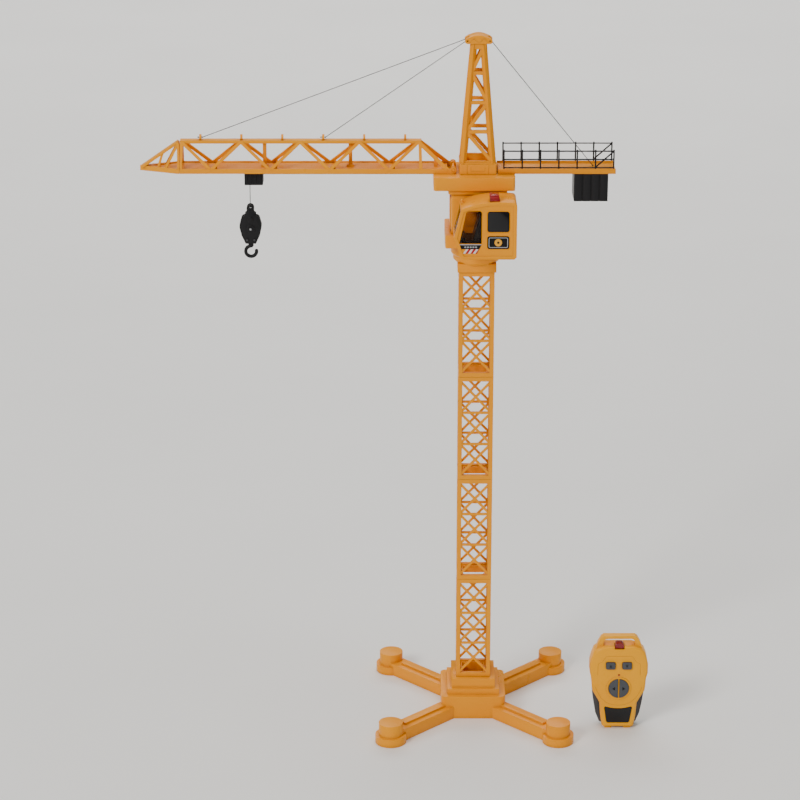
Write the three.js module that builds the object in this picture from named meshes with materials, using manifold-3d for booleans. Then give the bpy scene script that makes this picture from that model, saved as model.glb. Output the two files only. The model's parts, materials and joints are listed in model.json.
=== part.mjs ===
// Toy tower crane, assembled, with its infrared remote control standing beside it.
// Millimetres, +Z up. The mast axis is the Z axis and the base stands on z = 0.
// The jib points to -X, the counter-jib to +X, and the cab hangs on the -Y side.
import * as THREE from "three";
import { mergeVertices } from "three/addons/utils/BufferGeometryUtils.js";
import Module from "manifold-3d";

const wasm = await Module();
wasm.setup();

// ---------- driving dimensions ----------
const GAP = 0.3; // clearance between pieces that touch on the real toy
const TOTAL_HEIGHT = 990;
const HEAD_HEIGHT = 188;
const DECK_LEVEL = TOTAL_HEIGHT - HEAD_HEIGHT; // top face of the turret platform

// base
const BASE_REACH = 118; // foot centre from the mast axis, along X and along Y
const BASE_FOOT_R = 17;
const BASE_FOOT_H = 12;
const ARM_WIDTH = 26;
const ARM_HEIGHT = 18;
const ARM_HOLLOW_START = 44;
const ARM_RIB_END = 100;
const PLINTH_WIDTH = 92;
const PLINTH_HEIGHT = 34;
const PLINTH_WALL = 4;
const SOCKET_WIDTH = 62;
const BASE_HEIGHT = 56;
const BASE_COVER_WIDTH = 74;
const BASE_COVER_T = 3;

// mast
const SECTIONS = 4;
const SECTION_PITCH = 152;
const MAST_WIDTH = 48.5;
const LEG = 5.5;
const END_FRAME_H = 6;
const END_FRAME_HOLE = 37;
const SPIGOT_WIDTH = 36.2;
const SPIGOT_HOLE = 30;
const SPIGOT_H = 4.5;
const MAST_PANELS = 3;
const BRACE_W = 3.2;
const BRACE_T = 2.4;
const MAST_TOP = BASE_HEIGHT + SECTIONS * SECTION_PITCH;

// slewing joint
const COLLAR_WIDTH = 53;
const COLLAR_H = 12;
const RING_R = 35.5;
const RING_STEP_R = 32.5;
const RING_TOP = MAST_TOP + 39;
const SPINDLE_R = 9;
const GEAR_MODULE = 1.25;
const SLEW_GEAR_TEETH = 32;
const PINION_TEETH = 10;
const GEAR_T = 5;
const SLEW_SHAFT_R = 1.3;
const GEAR_CENTRES = (GEAR_MODULE * (SLEW_GEAR_TEETH + PINION_TEETH)) / 2;

// turret
const FLANGE_X = 44;
const FLANGE_Y = 41.5;
const FLANGE_H = 18;
const FLANGE_Z = RING_TOP + GAP;
const GEAR_Z = FLANGE_Z + 4.5;
const BODY_X = 36;
const BODY_Y = 34;
const BODY_Z = FLANGE_Z + FLANGE_H + GAP;
const LIP_X = 40;
const LIP_Y = 38;
const PLATFORM_FRONT = -60;
const PLATFORM_REAR = 50;
const PLATFORM_Y = 42;
const PLATFORM_H = 18;
const LIP_H = 6;
const PLATFORM_Z = DECK_LEVEL - PLATFORM_H;
const BODY_TOP = PLATFORM_Z - LIP_H - GAP;
const WALL = 2.2;
const PANEL_PROUD = 1.6; // raised panel on each face of the turret body
const MOTOR_R = 6.4;
const MOTOR_SIDES = 24;

// cab, side profile measured from its front lower corner
const CAB_X = -33;
const CAB_Z = FLANGE_Z;
const CAB_WIDTH = 84;
const CAB_HEIGHT = 80;
const CAB_DEPTH = 50;
const CAB_BACK = -(PLATFORM_Y + GAP);
const CAB_FRONT = CAB_BACK - CAB_DEPTH;
const CHIN_Z = 29.6;
const CHIN_X = 9;
const BROW_X = 9.3;
const BROW_Z = 69;
const PANE_T = 1.4;

// tower head
const HEAD_BASE_W = 50;
const HEAD_BASE_H = 14;
const HEAD_TOP_W = 20;
const HEAD_LEVELS = [16, 57.5, 97, 136.5, 171.5];
const HEAD_LEG = 6.5;
const HEAD_BAR = 4.7;
const CAP_W = 37;
const CAP_H = 12;
const CAP_T = 22;
const CAP_Z = TOTAL_HEIGHT - CAP_H;
const EYELET_X = 15;
const EYELET_Z = 4;

// jib, measured from its root pin toward the tip
const JIB_PIN_X = -33;
const JIB_Z = DECK_LEVEL + GAP;
const JIB_Y = 21.5;
const JIB_H = 42;
const JIB_LENGTH = 424;
const JIB_PEAK = 369;
const JIB_FIRST_NODE = 47;
const JIB_PITCH = 80;
const JIB_PANELS = 4;
const CHORD_Y = 6;
const CHORD_T = 4;
const CHORD_RAIL_W = 1.8; // rail along the upper edge of each side truss
const SIDE_H = 6.6;
const SIDE_T = 2.4;
const DECK_Z = 3;
const DECK_T = 2;
const DIAGONAL_W = 4.2;
const DIAGONAL_T = 2.6;
const LOOP_FIRST = 65;
const LOOP_PITCH = 55.3;
const LOOPS = 6;
const LOOP_OUTER = 4.2;
const LOOP_HOLE = 2.2;
const LOOP_T = 3;
const RING_CENTRE_Z = JIB_H + LOOP_OUTER - 0.8;
const PIN_R = 2;
const EAR_R = 4.2;
const EAR_Z = 4.8;
const RAIL_Y = 11.5;
const RAIL_LIP = 4;

// counter-jib
const COUNTER_START = 27;
const COUNTER_END = 186;
const COUNTER_Y = 20;
const COUNTER_H = 7;
const RAILING_H = 25;
const RAILING_POSTS = 7;
const WEIGHT_X = 130;
const WEIGHT_LENGTH = 46;
const WEIGHT_H = 38;

// hoisting gear
const LINE_R = 0.5;
const LINE_Z = DECK_LEVEL - 5.5; // centre line of the hoist line below the jib
const DRUM_R = 6;
const DRUM_X = -12;
const DRUM_LENGTH = 16;
const DRUM_Z = LINE_Z - DRUM_R - LINE_R;
const TROLLEY_AT = 270; // distance of the trolley from the root pin
const TROLLEY_W = 25;
const TROLLEY_H = 18;
const PULLEY_R = 5;
const TROLLEY_X = JIB_PIN_X - TROLLEY_AT;
const PULLEY_Z = LINE_Z - PULLEY_R - LINE_R;
const BLOCK_X = TROLLEY_X - PULLEY_R - LINE_R - GAP; // the line drops here

// hook block, measured from the axis of its sheave
const BLOCK_Z = DECK_LEVEL - 82;
const BLOCK_BOTTOM = -21;
const BLOCK_HALF_W = 15;
const BLOCK_PLATE_T = 2.4;
const BLOCK_SPACE = 5.6;
const EYE_Z = 29;
const SHEAVE_R = 9.5;
const SHEAVE_PIN_R = 1.6;
const HOOK_BOWL_R = 7.4;
const HOOK_WIRE = 2.5;
const HOOK_BOWL_Z = -33;

// remote control
const REMOTE_X = 205;
const REMOTE_Y = -66;
const REMOTE_W = 82;
const REMOTE_H = 141;
const REMOTE_FOOT = 3; // underside of the body, above the soles of its feet
const REMOTE_BODY_TOP = 127.5;
const REMOTE_GRIP_TOP = 62;
const REMOTE_EDGE_R = 3.5;
const REMOTE_TOP_T = 13;
const REMOTE_BOTTOM_T = 15;
const BUTTON_PROUD = 2.2;
const BUTTON_DEPTH = 6;
const KEY_HALF_W = 6.5;
const KEY_HALF_H = 5.2;
const KEY_CLEARANCE = 0.4;
const ROUND_BUTTON_R = 14.4;
const ROUND_KEY_Z = 64;
const KEY_WEB = 1.8; // bar between the halves of the round key

// ---------- materials ----------
const plastic = (color) => new THREE.MeshStandardMaterial({ color, roughness: 0.45 });
const YELLOW = plastic(0xf7a81c);
const ORANGE = plastic(0xd9730f);
const BLACK = plastic(0x1d1d1f);
const GREY = plastic(0x63666b);
const GLAZING = plastic(0x101216);
const RED_LENS = plastic(0x9a1018);
const STEEL = new THREE.MeshStandardMaterial({ color: 0xb9bcc0, metalness: 0.9, roughness: 0.3 });
const GREEN = plastic(0x1e6b3a);
const WHITE = plastic(0xe8e6df);
const STRING = plastic(0x2a2a2c);

const crane = new THREE.Group();

// ---------- solid helpers ----------
function solid(geometry) {
  const bare = geometry.index ? geometry.toNonIndexed() : geometry.clone();
  bare.deleteAttribute("normal");
  bare.deleteAttribute("uv");
  const merged = mergeVertices(bare, 1e-4);
  const mesh = new wasm.Mesh({
    numProp: 3,
    vertProperties: merged.attributes.position.array,
    triVerts: new Uint32Array(merged.index.array),
  });
  return new wasm.Manifold(mesh);
}

function piece(name, body, material) {
  const data = body.getMesh();
  const geometry = new THREE.BufferGeometry();
  geometry.setAttribute("position", new THREE.BufferAttribute(data.vertProperties, 3));
  geometry.setIndex(new THREE.BufferAttribute(data.triVerts, 1));
  geometry.computeVertexNormals();
  const mesh = new THREE.Mesh(geometry, material);
  mesh.name = name;
  crane.add(mesh);
}

const join = (...parts) => parts.flat().reduce((a, b) => a.add(b));

function box(x0, x1, y0, y1, z0, z1) {
  const g = new THREE.BoxGeometry(x1 - x0, y1 - y0, z1 - z0);
  g.translate((x0 + x1) / 2, (y0 + y1) / 2, (z0 + z1) / 2);
  return solid(g);
}

// A square tube or block centred on the Z axis.
const post = (width, z0, z1) => box(-width / 2, width / 2, -width / 2, width / 2, z0, z1);

// A bar from a to b: its width lies across the normal, its thickness along it.
function bar(a, b, width, thickness, normal) {
  const along = new THREE.Vector3().subVectors(b, a);
  const length = along.length();
  along.normalize();
  const n = normal.clone().addScaledVector(along, -normal.dot(along)).normalize();
  const across = new THREE.Vector3().crossVectors(n, along);
  const g = new THREE.BoxGeometry(length, width, thickness);
  g.applyMatrix4(new THREE.Matrix4().makeBasis(along, across, n));
  const middle = new THREE.Vector3().addVectors(a, b).multiplyScalar(0.5);
  g.translate(middle.x, middle.y, middle.z);
  return solid(g);
}

const V = (x, y, z) => new THREE.Vector3(x, y, z);

function rod(a, b, radius, sides = 16) {
  const g = new THREE.CylinderGeometry(radius, radius, a.distanceTo(b), sides);
  const turn = new THREE.Quaternion();
  turn.setFromUnitVectors(V(0, 1, 0), new THREE.Vector3().subVectors(b, a).normalize());
  g.applyQuaternion(turn);
  const middle = new THREE.Vector3().addVectors(a, b).multiplyScalar(0.5);
  g.translate(middle.x, middle.y, middle.z);
  return solid(g);
}

function ball(centre, radius, sides = 12) {
  const g = new THREE.SphereGeometry(radius, sides, sides / 2);
  g.translate(centre.x, centre.y, centre.z);
  return solid(g);
}

// A flat shape drawn in (x, z), made thick from y0 to y1.
function slab(shape, y0, y1) {
  const g = new THREE.ExtrudeGeometry(shape, { depth: y1 - y0, bevelEnabled: false, curveSegments: 6 });
  g.rotateX(Math.PI / 2);
  g.translate(0, y1, 0);
  return solid(g);
}

// A flat shape drawn in (x, y), made thick from z0 to z1.
function layer(shape, z0, z1, curveSegments = 6) {
  const g = new THREE.ExtrudeGeometry(shape, { depth: z1 - z0, bevelEnabled: false, curveSegments });
  g.translate(0, 0, z0);
  return solid(g);
}

function polygon(points) {
  return new THREE.Shape(points.map(([x, y]) => new THREE.Vector2(x, y)));
}

function roundedRect(x0, x1, y0, y1, r) {
  const s = new THREE.Shape();
  s.moveTo(x0 + r, y0);
  s.lineTo(x1 - r, y0);
  s.quadraticCurveTo(x1, y0, x1, y0 + r);
  s.lineTo(x1, y1 - r);
  s.quadraticCurveTo(x1, y1, x1 - r, y1);
  s.lineTo(x0 + r, y1);
  s.quadraticCurveTo(x0, y1, x0, y1 - r);
  s.lineTo(x0, y0 + r);
  s.quadraticCurveTo(x0, y0, x0 + r, y0);
  return s;
}

// The same convex outline, counter-clockwise, moved inwards by d.
function inset(points, d) {
  const n = points.length;
  return points.map((p, i) => {
    const before = points[(i + n - 1) % n];
    const after = points[(i + 1) % n];
    const u = new THREE.Vector2(p[0] - before[0], p[1] - before[1]).normalize();
    const v = new THREE.Vector2(after[0] - p[0], after[1] - p[1]).normalize();
    const cosine = u.dot(v);
    const mx = -u.y - v.y;
    const my = u.x + v.x;
    const k = d / (1 + cosine);
    return [p[0] + mx * k, p[1] + my * k];
  });
}

function lathe(profile, sides = 40) {
  const g = new THREE.LatheGeometry(
    profile.map(([r, z]) => new THREE.Vector2(r, z)),
    sides,
  );
  g.rotateX(Math.PI / 2);
  return solid(g);
}

function gear(teeth, thickness, bore, turn) {
  const pitchR = (GEAR_MODULE * teeth) / 2;
  const rootR = pitchR - 1.3 * GEAR_MODULE;
  const tipR = pitchR + 0.85 * GEAR_MODULE;
  const step = (2 * Math.PI) / teeth;
  const points = [];
  for (let i = 0; i < teeth; i++) {
    const corners = [
      [rootR, -0.3],
      [tipR, -0.1],
      [tipR, 0.1],
      [rootR, 0.3],
    ];
    for (const [r, share] of corners) {
      const a = turn + (i + share) * step;
      points.push([r * Math.cos(a), r * Math.sin(a)]);
    }
  }
  const shape = polygon(points);
  shape.holes.push(new THREE.Path().absarc(0, 0, bore, 0, 2 * Math.PI, true));
  return layer(shape, 0, thickness, 16);
}

const at = (body, x, y, z) => body.translate([x, y, z]);

// ---------- base ----------
function baseArm(sx, sy) {
  const end = V(sx * BASE_REACH, sy * BASE_REACH, ARM_HEIGHT / 2);
  const arm = bar(V(0, 0, ARM_HEIGHT / 2), end, ARM_WIDTH, ARM_HEIGHT, V(0, 0, 1));
  const rib = bar(V(0, 0, ARM_HEIGHT), V(sx * ARM_RIB_END, sy * ARM_RIB_END, ARM_HEIGHT), 8, 6, V(0, 0, 1));
  const foot = rod(V(end.x, end.y, 0), V(end.x, end.y, BASE_FOOT_H + ARM_HEIGHT), BASE_FOOT_R, 28);
  const toe = rod(V(end.x, end.y, 0), V(end.x, end.y, BASE_FOOT_H), BASE_FOOT_R + 5, 28);
  // The arms are hollow from below, like any thin moulding.
  const inner = V(sx * ARM_HOLLOW_START, sy * ARM_HOLLOW_START, 0);
  const outer = V(sx * ARM_RIB_END, sy * ARM_RIB_END, 0);
  const hollow = bar(inner, outer, ARM_WIDTH - 7, 2 * (ARM_HEIGHT - 4), V(0, 0, 1));
  return join(arm, rib, foot, toe).subtract(hollow);
}

function baseFrame() {
  const signs = [-1, 1];
  const arms = signs.flatMap((sx) => signs.map((sy) => baseArm(sx, sy)));
  const half = PLINTH_WIDTH / 2;
  const plinth = layer(roundedRect(-half, half, -half, half, 9), 0, PLINTH_HEIGHT);
  const step = post(SOCKET_WIDTH + 12, PLINTH_HEIGHT - 1, PLINTH_HEIGHT + 8);
  const socket = post(SOCKET_WIDTH, PLINTH_HEIGHT, BASE_HEIGHT);
  const spigot = post(SPIGOT_WIDTH, BASE_HEIGHT - 2, BASE_HEIGHT + SPIGOT_H);
  const pocket = post(BASE_COVER_WIDTH + 2 * GAP, -1, PLINTH_HEIGHT - PLINTH_WALL);
  const well = post(SPIGOT_HOLE, -1, BASE_HEIGHT + SPIGOT_H + 1);
  return join(arms, plinth, step, socket, spigot).subtract(pocket).subtract(well);
}

function baseCover() {
  const half = BASE_COVER_WIDTH / 2;
  const plate = post(BASE_COVER_WIDTH, 0, BASE_COVER_T);
  const pillars = [-1, 1].flatMap((sx) =>
    [-1, 1].map((sy) => {
      const x = sx * (half - 7);
      const y = sy * (half - 7);
      return rod(V(x, y, BASE_COVER_T - 1), V(x, y, PLINTH_HEIGHT - PLINTH_WALL - GAP), 3.5, 12);
    }),
  );
  return join(plate, pillars);
}

// ---------- mast ----------
// The same bars on all four sides of a square tower.
function onFourSides(body) {
  return join([0, 90, 180, 270].map((a) => body.rotate([0, 0, a])));
}

function mastSection() {
  const height = SECTION_PITCH - GAP;
  const corner = (MAST_WIDTH - LEG) / 2;
  const face = MAST_WIDTH / 2 - BRACE_T / 2 - 0.5;
  const out = V(0, -1, 0);
  const leg = box(-corner - LEG / 2, -corner + LEG / 2, -corner - LEG / 2, -corner + LEG / 2, 0, height);
  const panel = (height - 2 * END_FRAME_H) / MAST_PANELS;
  const bars = [leg];
  for (let i = 0; i < MAST_PANELS; i++) {
    const low = END_FRAME_H + i * panel;
    const high = low + panel;
    bars.push(bar(V(-corner, -face, low), V(corner, -face, high), BRACE_W, BRACE_T, out));
    bars.push(bar(V(corner, -face, low), V(-corner, -face, high), BRACE_W, BRACE_T, out));
    if (i) bars.push(bar(V(-corner, -face, low), V(corner, -face, low), BRACE_W, BRACE_T, out));
  }
  const frame = (z) => post(MAST_WIDTH, z, z + END_FRAME_H).subtract(post(END_FRAME_HOLE, z - 1, z + 7));
  const spigotZ = height - END_FRAME_H;
  const spigot = post(SPIGOT_WIDTH, spigotZ, height + SPIGOT_H);
  const seat = post(MAST_WIDTH - 2, spigotZ, height - 1);
  const well = post(SPIGOT_HOLE, spigotZ - 1, height + SPIGOT_H + 1);
  return join(onFourSides(join(bars)), frame(0), frame(spigotZ), seat, spigot).subtract(well);
}

function mastCollar() {
  const z0 = MAST_TOP + GAP;
  const collarTop = z0 + COLLAR_H;
  const collar = post(COLLAR_WIDTH, z0, collarTop);
  const ring = lathe([
    [0, collarTop - 2],
    [RING_STEP_R - 4, collarTop - 2],
    [RING_STEP_R, collarTop + 2],
    [RING_STEP_R, collarTop + 8],
    [RING_R, collarTop + 11],
    [RING_R, RING_TOP - 3],
    [RING_R - 2, RING_TOP],
    [SPINDLE_R, RING_TOP],
    [SPINDLE_R, RING_TOP + 14],
    [0, RING_TOP + 14],
  ]);
  const socket = post(END_FRAME_HOLE, z0 - 1, z0 + SPIGOT_H + 1);
  return join(collar, ring).subtract(socket);
}

// ---------- turret ----------
function hollowTray(x, y, z0, z1, floor) {
  const outer = layer(roundedRect(-x, x, -y, y, 5), z0, z1);
  const inner = layer(roundedRect(-x + WALL, x - WALL, -y + WALL, y - WALL, 3), z0 + floor, z1 + 1);
  return outer.subtract(inner);
}

function turretFlange() {
  const tray = hollowTray(FLANGE_X, FLANGE_Y, FLANGE_Z, FLANGE_Z + FLANGE_H, 2.5);
  const bore = rod(V(0, 0, FLANGE_Z - 1), V(0, 0, FLANGE_Z + 4), SPINDLE_R + 0.6, 40);
  const lidX = FLANGE_X - 1;
  const lidY = FLANGE_Y - 1;
  const top = FLANGE_Z + FLANGE_H;
  const lid = box(-lidX, lidX, -lidY, lidY, top - 2, top);
  const opening = box(-BODY_X + WALL, BODY_X - WALL, -BODY_Y + WALL, BODY_Y - WALL, top - 4, top + 1);
  return tray.subtract(bore).add(lid.subtract(opening));
}

// Half of the turret body: side is -1 toward the jib, +1 toward the rear.
function turretShell(side) {
  const outer = layer(roundedRect(-BODY_X, BODY_X, -BODY_Y, BODY_Y, 4), BODY_Z, BODY_TOP);
  const inner = layer(
    roundedRect(-BODY_X + WALL, BODY_X - WALL, -BODY_Y + WALL, BODY_Y - WALL, 2.5),
    BODY_Z - 1,
    BODY_TOP + 1,
  );
  const faceX = side * BODY_X;
  const x0 = Math.min(faceX, faceX + side * PANEL_PROUD);
  const x1 = Math.max(faceX, faceX + side * PANEL_PROUD);
  const panel = box(x0, x1, -BODY_Y + 9, BODY_Y - 9, BODY_Z + 8, BODY_TOP - 8);
  const reach = BODY_X + 5;
  const half =
    side < 0
      ? box(-reach, -GAP / 2, -BODY_Y - 5, BODY_Y + 5, BODY_Z - 1, BODY_TOP + 1)
      : box(GAP / 2, reach, -BODY_Y - 5, BODY_Y + 5, BODY_Z - 1, BODY_TOP + 1);
  return join(outer, panel).subtract(inner).intersect(half);
}

const SWITCH_Y = -14;
const SWITCH_Z = BODY_Z + 18;
const SWITCH_TRAVEL = 4;
const SOCKET_Y = 12;

function turretShellRear() {
  const faceX = BODY_X + PANEL_PROUD;
  const slot = box(BODY_X - 4, faceX + 1, SWITCH_Y - 5, SWITCH_Y + 5, SWITCH_Z - 2.4, SWITCH_Z + 2.4);
  const port = box(BODY_X - 4, faceX + 1, SOCKET_Y - 5, SOCKET_Y + 5, SWITCH_Z - 2.4, SWITCH_Z + 2.4);
  return turretShell(1).subtract(slot).subtract(port);
}

function powerSwitch() {
  const x = BODY_X + PANEL_PROUD;
  const y = SWITCH_Y - SWITCH_TRAVEL / 2;
  const knob = box(BODY_X - 4, x + 1.8, y - 2, y + 2, SWITCH_Z - 2, SWITCH_Z + 2);
  const slide = box(BODY_X - 5.5, BODY_X - WALL - GAP, y - 4, y + 4, SWITCH_Z - 3.5, SWITCH_Z + 3.5);
  return join(knob, slide);
}

function chargingSocket() {
  const x1 = BODY_X + 1.4;
  const shell = box(BODY_X - 6, x1, SOCKET_Y - 4.6, SOCKET_Y + 4.6, SWITCH_Z - 2, SWITCH_Z + 2);
  const mouth = box(BODY_X - 4, x1 + 1, SOCKET_Y - 4, SOCKET_Y + 4, SWITCH_Z - 1.4, SWITCH_Z + 1.4);
  const tongue = box(BODY_X - 5, x1 - 1.5, SOCKET_Y - 2.6, SOCKET_Y + 2.6, SWITCH_Z - 0.2, SWITCH_Z + 0.5);
  return join(shell.subtract(mouth), tongue);
}

function platformOutline(d, front, rear, y) {
  return roundedRect(front + d, rear - d, -y + d, y - d, Math.max(5 - d, 2));
}

function turretPlatform() {
  const top = layer(platformOutline(0, PLATFORM_FRONT, PLATFORM_REAR, PLATFORM_Y), PLATFORM_Z, DECK_LEVEL);
  const lip = layer(platformOutline(0, -LIP_X, LIP_X, LIP_Y), PLATFORM_Z - LIP_H, PLATFORM_Z + 1);
  const hollow = layer(
    platformOutline(WALL, PLATFORM_FRONT, PLATFORM_REAR, PLATFORM_Y),
    PLATFORM_Z + WALL,
    DECK_LEVEL - WALL,
  );
  const throat = layer(
    platformOutline(WALL, -BODY_X, BODY_X, BODY_Y),
    PLATFORM_Z - LIP_H - 1,
    DECK_LEVEL - WALL,
  );
  const lineHole = rod(V(PLATFORM_FRONT - 1, 0, LINE_Z), V(PLATFORM_FRONT + 6, 0, LINE_Z), 2, 12);
  const lugs = [-1, 1].map((s) => {
    const y = s * 13;
    const ear = rod(V(JIB_PIN_X, y - 1.5, JIB_Z + EAR_Z), V(JIB_PIN_X, y + 1.5, JIB_Z + EAR_Z), EAR_R, 20);
    const foot = box(JIB_PIN_X - EAR_R, JIB_PIN_X + EAR_R, y - 1.5, y + 1.5, DECK_LEVEL - 1, JIB_Z + EAR_Z);
    return join(ear, foot);
  });
  const pinHole = rod(V(JIB_PIN_X, -20, JIB_Z + EAR_Z), V(JIB_PIN_X, 20, JIB_Z + EAR_Z), PIN_R + GAP, 16);
  return join(top, lip, lugs).subtract(hollow).subtract(throat).subtract(lineHole).subtract(pinHole);
}

function slewMotor() {
  const x = -GEAR_CENTRES;
  const z0 = BODY_Z - 1;
  const can = rod(V(x, 0, z0), V(x, 0, z0 + 26), MOTOR_R, MOTOR_SIDES);
  const nose = rod(V(x, 0, z0 - 1.5), V(x, 0, z0 + 1), 3, 16);
  const boss = rod(V(x, 0, z0 + 25), V(x, 0, z0 + 28), 3, 16);
  return join(can, nose, boss);
}

function slewPinion() {
  const bore = SLEW_SHAFT_R - 0.1;
  const wheel = at(gear(PINION_TEETH, GEAR_T, bore, Math.PI / PINION_TEETH), -GEAR_CENTRES, 0, GEAR_Z);
  const shaft = rod(V(-GEAR_CENTRES, 0, GEAR_Z - 1), V(-GEAR_CENTRES, 0, BODY_Z - 2.9), SLEW_SHAFT_R, 16);
  return join(wheel, shaft);
}

function hoistMotor() {
  const y0 = DRUM_LENGTH / 2 + 3;
  const z = DRUM_Z;
  const can = rod(V(DRUM_X, y0, z), V(DRUM_X, y0 + 20, z), MOTOR_R, MOTOR_SIDES);
  const boss = rod(V(DRUM_X, y0 + 19, z), V(DRUM_X, y0 + 22, z), 2.6, 16);
  return join(can, boss);
}

function winchDrum() {
  const z = DRUM_Z;
  const half = DRUM_LENGTH / 2;
  const core = rod(V(DRUM_X, -half, z), V(DRUM_X, half, z), DRUM_R - GAP, 24);
  const cheeks = [-1, 1].map((s) =>
    rod(V(DRUM_X, s * half - 0.8, z), V(DRUM_X, s * half + 0.8, z), DRUM_R + 3, 24),
  );
  const axle = rod(V(DRUM_X, -half - 6, z), V(DRUM_X, half + 2.6, z), 1.5, 16);
  return join(core, cheeks, axle);
}

function controlBoard() {
  const board = box(4, 5.6, -28, 28, BODY_Z + 4, BODY_TOP - 6);
  const chip = box(2.6, 4.4, -8, 4, BODY_Z + 22, BODY_Z + 34);
  const receiver = box(5, 9, 18, 24, BODY_TOP - 18, BODY_TOP - 10);
  return join(board, chip, receiver);
}

function batteryPack() {
  const cells = [-1, 0, 1].map((i) =>
    rod(V(19, i * 14.2, BODY_Z + 26), V(19, i * 14.2, BODY_TOP - 4), 7.2, 20),
  );
  return join(cells);
}

// ---------- cab ----------
// Side outline, counter-clockwise, moved inwards by d.
function cabOutline(d) {
  const curve = new THREE.QuadraticBezierCurve(
    new THREE.Vector2(CAB_WIDTH - 6, CAB_HEIGHT - 1.5),
    new THREE.Vector2(38, CAB_HEIGHT + 2.5),
    new THREE.Vector2(BROW_X, BROW_Z),
  );
  const corner = new THREE.QuadraticBezierCurve(
    new THREE.Vector2(CAB_WIDTH, CAB_HEIGHT - 8),
    new THREE.Vector2(CAB_WIDTH, CAB_HEIGHT - 1.5),
    new THREE.Vector2(CAB_WIDTH - 6, CAB_HEIGHT - 1.5),
  );
  const points = [
    [CHIN_X + 3, 0],
    [CAB_WIDTH - 3, 0],
    [CAB_WIDTH, 3],
    ...corner.getPoints(5).map((p) => [p.x, p.y]),
    ...curve.getPoints(9).slice(1).map((p) => [p.x, p.y]),
    [0, CHIN_Z],
    [CHIN_X, 2.5],
  ];
  return inset(points, d);
}

function windowShape(d) {
  const points = inset(
    [
      [7.2, 21.8],
      [36.8, 21.8],
      [36.8, 65],
      [35, 66.8],
      [19.5, 66.8],
      [16.2, 65],
    ],
    d,
  );
  return polygon(points);
}

const rearWindowShape = (d) => roundedRect(44.6 + d, 73.9 - d, 37.8 + d, 66.4 - d, 3.5);

const inCab = (body) => at(body, CAB_X, 0, CAB_Z);

const LENS_X = 54.6;
const LENS_W = 13.2;
const LENS_L = 14;
const LENS_Y = CAB_FRONT + 4;

function cabShell() {
  const outer = slab(polygon(cabOutline(0)), CAB_FRONT, CAB_BACK);
  const rim = slab(polygon(cabOutline(4.5)), CAB_FRONT - 1, CAB_FRONT + 0.8);
  const inner = slab(polygon(cabOutline(WALL)), CAB_FRONT + WALL + 0.8, CAB_BACK + 1);
  const cuts = [
    slab(windowShape(0), CAB_FRONT - 1, CAB_FRONT + 6),
    slab(rearWindowShape(0), CAB_FRONT - 1, CAB_FRONT + 6),
    windshieldBlock(3, 8, 0),
    box(
      LENS_X - LENS_W / 2 - GAP,
      LENS_X + LENS_W / 2 + GAP,
      LENS_Y - GAP,
      LENS_Y + LENS_L + GAP,
      CAB_HEIGHT - 8,
      CAB_HEIGHT + 5,
    ),
  ];
  const peg = join(
    rod(V(12.5, CAB_BACK - 22, 69.4), V(11, CAB_BACK - 22, 74), 1.6, 12),
    ball(V(10.8, CAB_BACK - 22, 74.6), 2.2),
  );
  let body = outer.subtract(rim).subtract(inner);
  for (const cut of cuts) body = body.subtract(cut);
  return inCab(body.add(peg));
}

// A slanting block in the plane of the windshield, thick across the pane.
function windshieldBlock(margin, thickness, shrink) {
  const slope = V(BROW_X, 0, BROW_Z - CHIN_Z).normalize();
  const normal = V(-slope.z, 0, slope.x);
  const inward = 1.1;
  const start = V(0, 0, CHIN_Z).addScaledVector(slope, margin + shrink);
  const end = V(BROW_X, 0, BROW_Z).addScaledVector(slope, -margin - shrink);
  const y = (CAB_FRONT + CAB_BACK) / 2;
  for (const p of [start, end]) p.addScaledVector(normal, -inward).setY(y);
  return bar(start, end, CAB_DEPTH - 10 - 2 * shrink, thickness, normal);
}

function cabInnerWall() {
  const plate = slab(polygon(cabOutline(WALL + GAP)), CAB_BACK - 2.2, CAB_BACK - 0.2);
  const bracket = box(12, 60, CAB_BACK - 1, -BODY_Y - GAP, 22, 66);
  const pocket = box(14, 58, CAB_BACK + 1, -BODY_Y + 1, 24, 64);
  const dash = slab(roundedRect(15, 31, 33, 60, 2), CAB_BACK - 4, CAB_BACK - 1);
  return inCab(join(plate, bracket.subtract(pocket), dash));
}

function cabSeat() {
  const base = box(14, 37, CAB_FRONT + 7, CAB_BACK - 6, WALL + GAP, 24);
  const back = slab(
    polygon([
      [25, 22],
      [38, 22],
      [40, 56],
      [34, 58],
    ]),
    CAB_FRONT + 9,
    CAB_BACK - 8,
  );
  const dash = box(5.4, 15, CAB_FRONT + 7, CAB_BACK - 8, 22, 28);
  return inCab(join(base, back, dash));
}

function roofLens() {
  const z0 = CAB_HEIGHT - 3;
  const half = LENS_W / 2;
  const body = slab(
    polygon([
      [LENS_X - half, z0],
      [LENS_X + half, z0],
      [LENS_X + half - 1.5, z0 + 11.5],
      [LENS_X - half - 1.2, z0 + 11.5],
    ]),
    LENS_Y,
    LENS_Y + LENS_L,
  );
  const grooves = [0, 1, 2].map((i) =>
    box(LENS_X - 12, LENS_X + 12, LENS_Y - 1, LENS_Y + 0.7, z0 + 4.6 + i * 2.2, z0 + 5.2 + i * 2.2),
  );
  let lens = body;
  for (const groove of grooves) lens = lens.subtract(groove);
  return inCab(lens);
}

// ---------- tower head ----------
function headHalfWidth(z) {
  const foot = HEAD_LEVELS[0];
  const top = HEAD_LEVELS[HEAD_LEVELS.length - 1];
  const share = (z - foot) / (top - foot);
  return (HEAD_BASE_W - 4 + (HEAD_TOP_W - HEAD_BASE_W + 4) * share) / 2;
}

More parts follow.
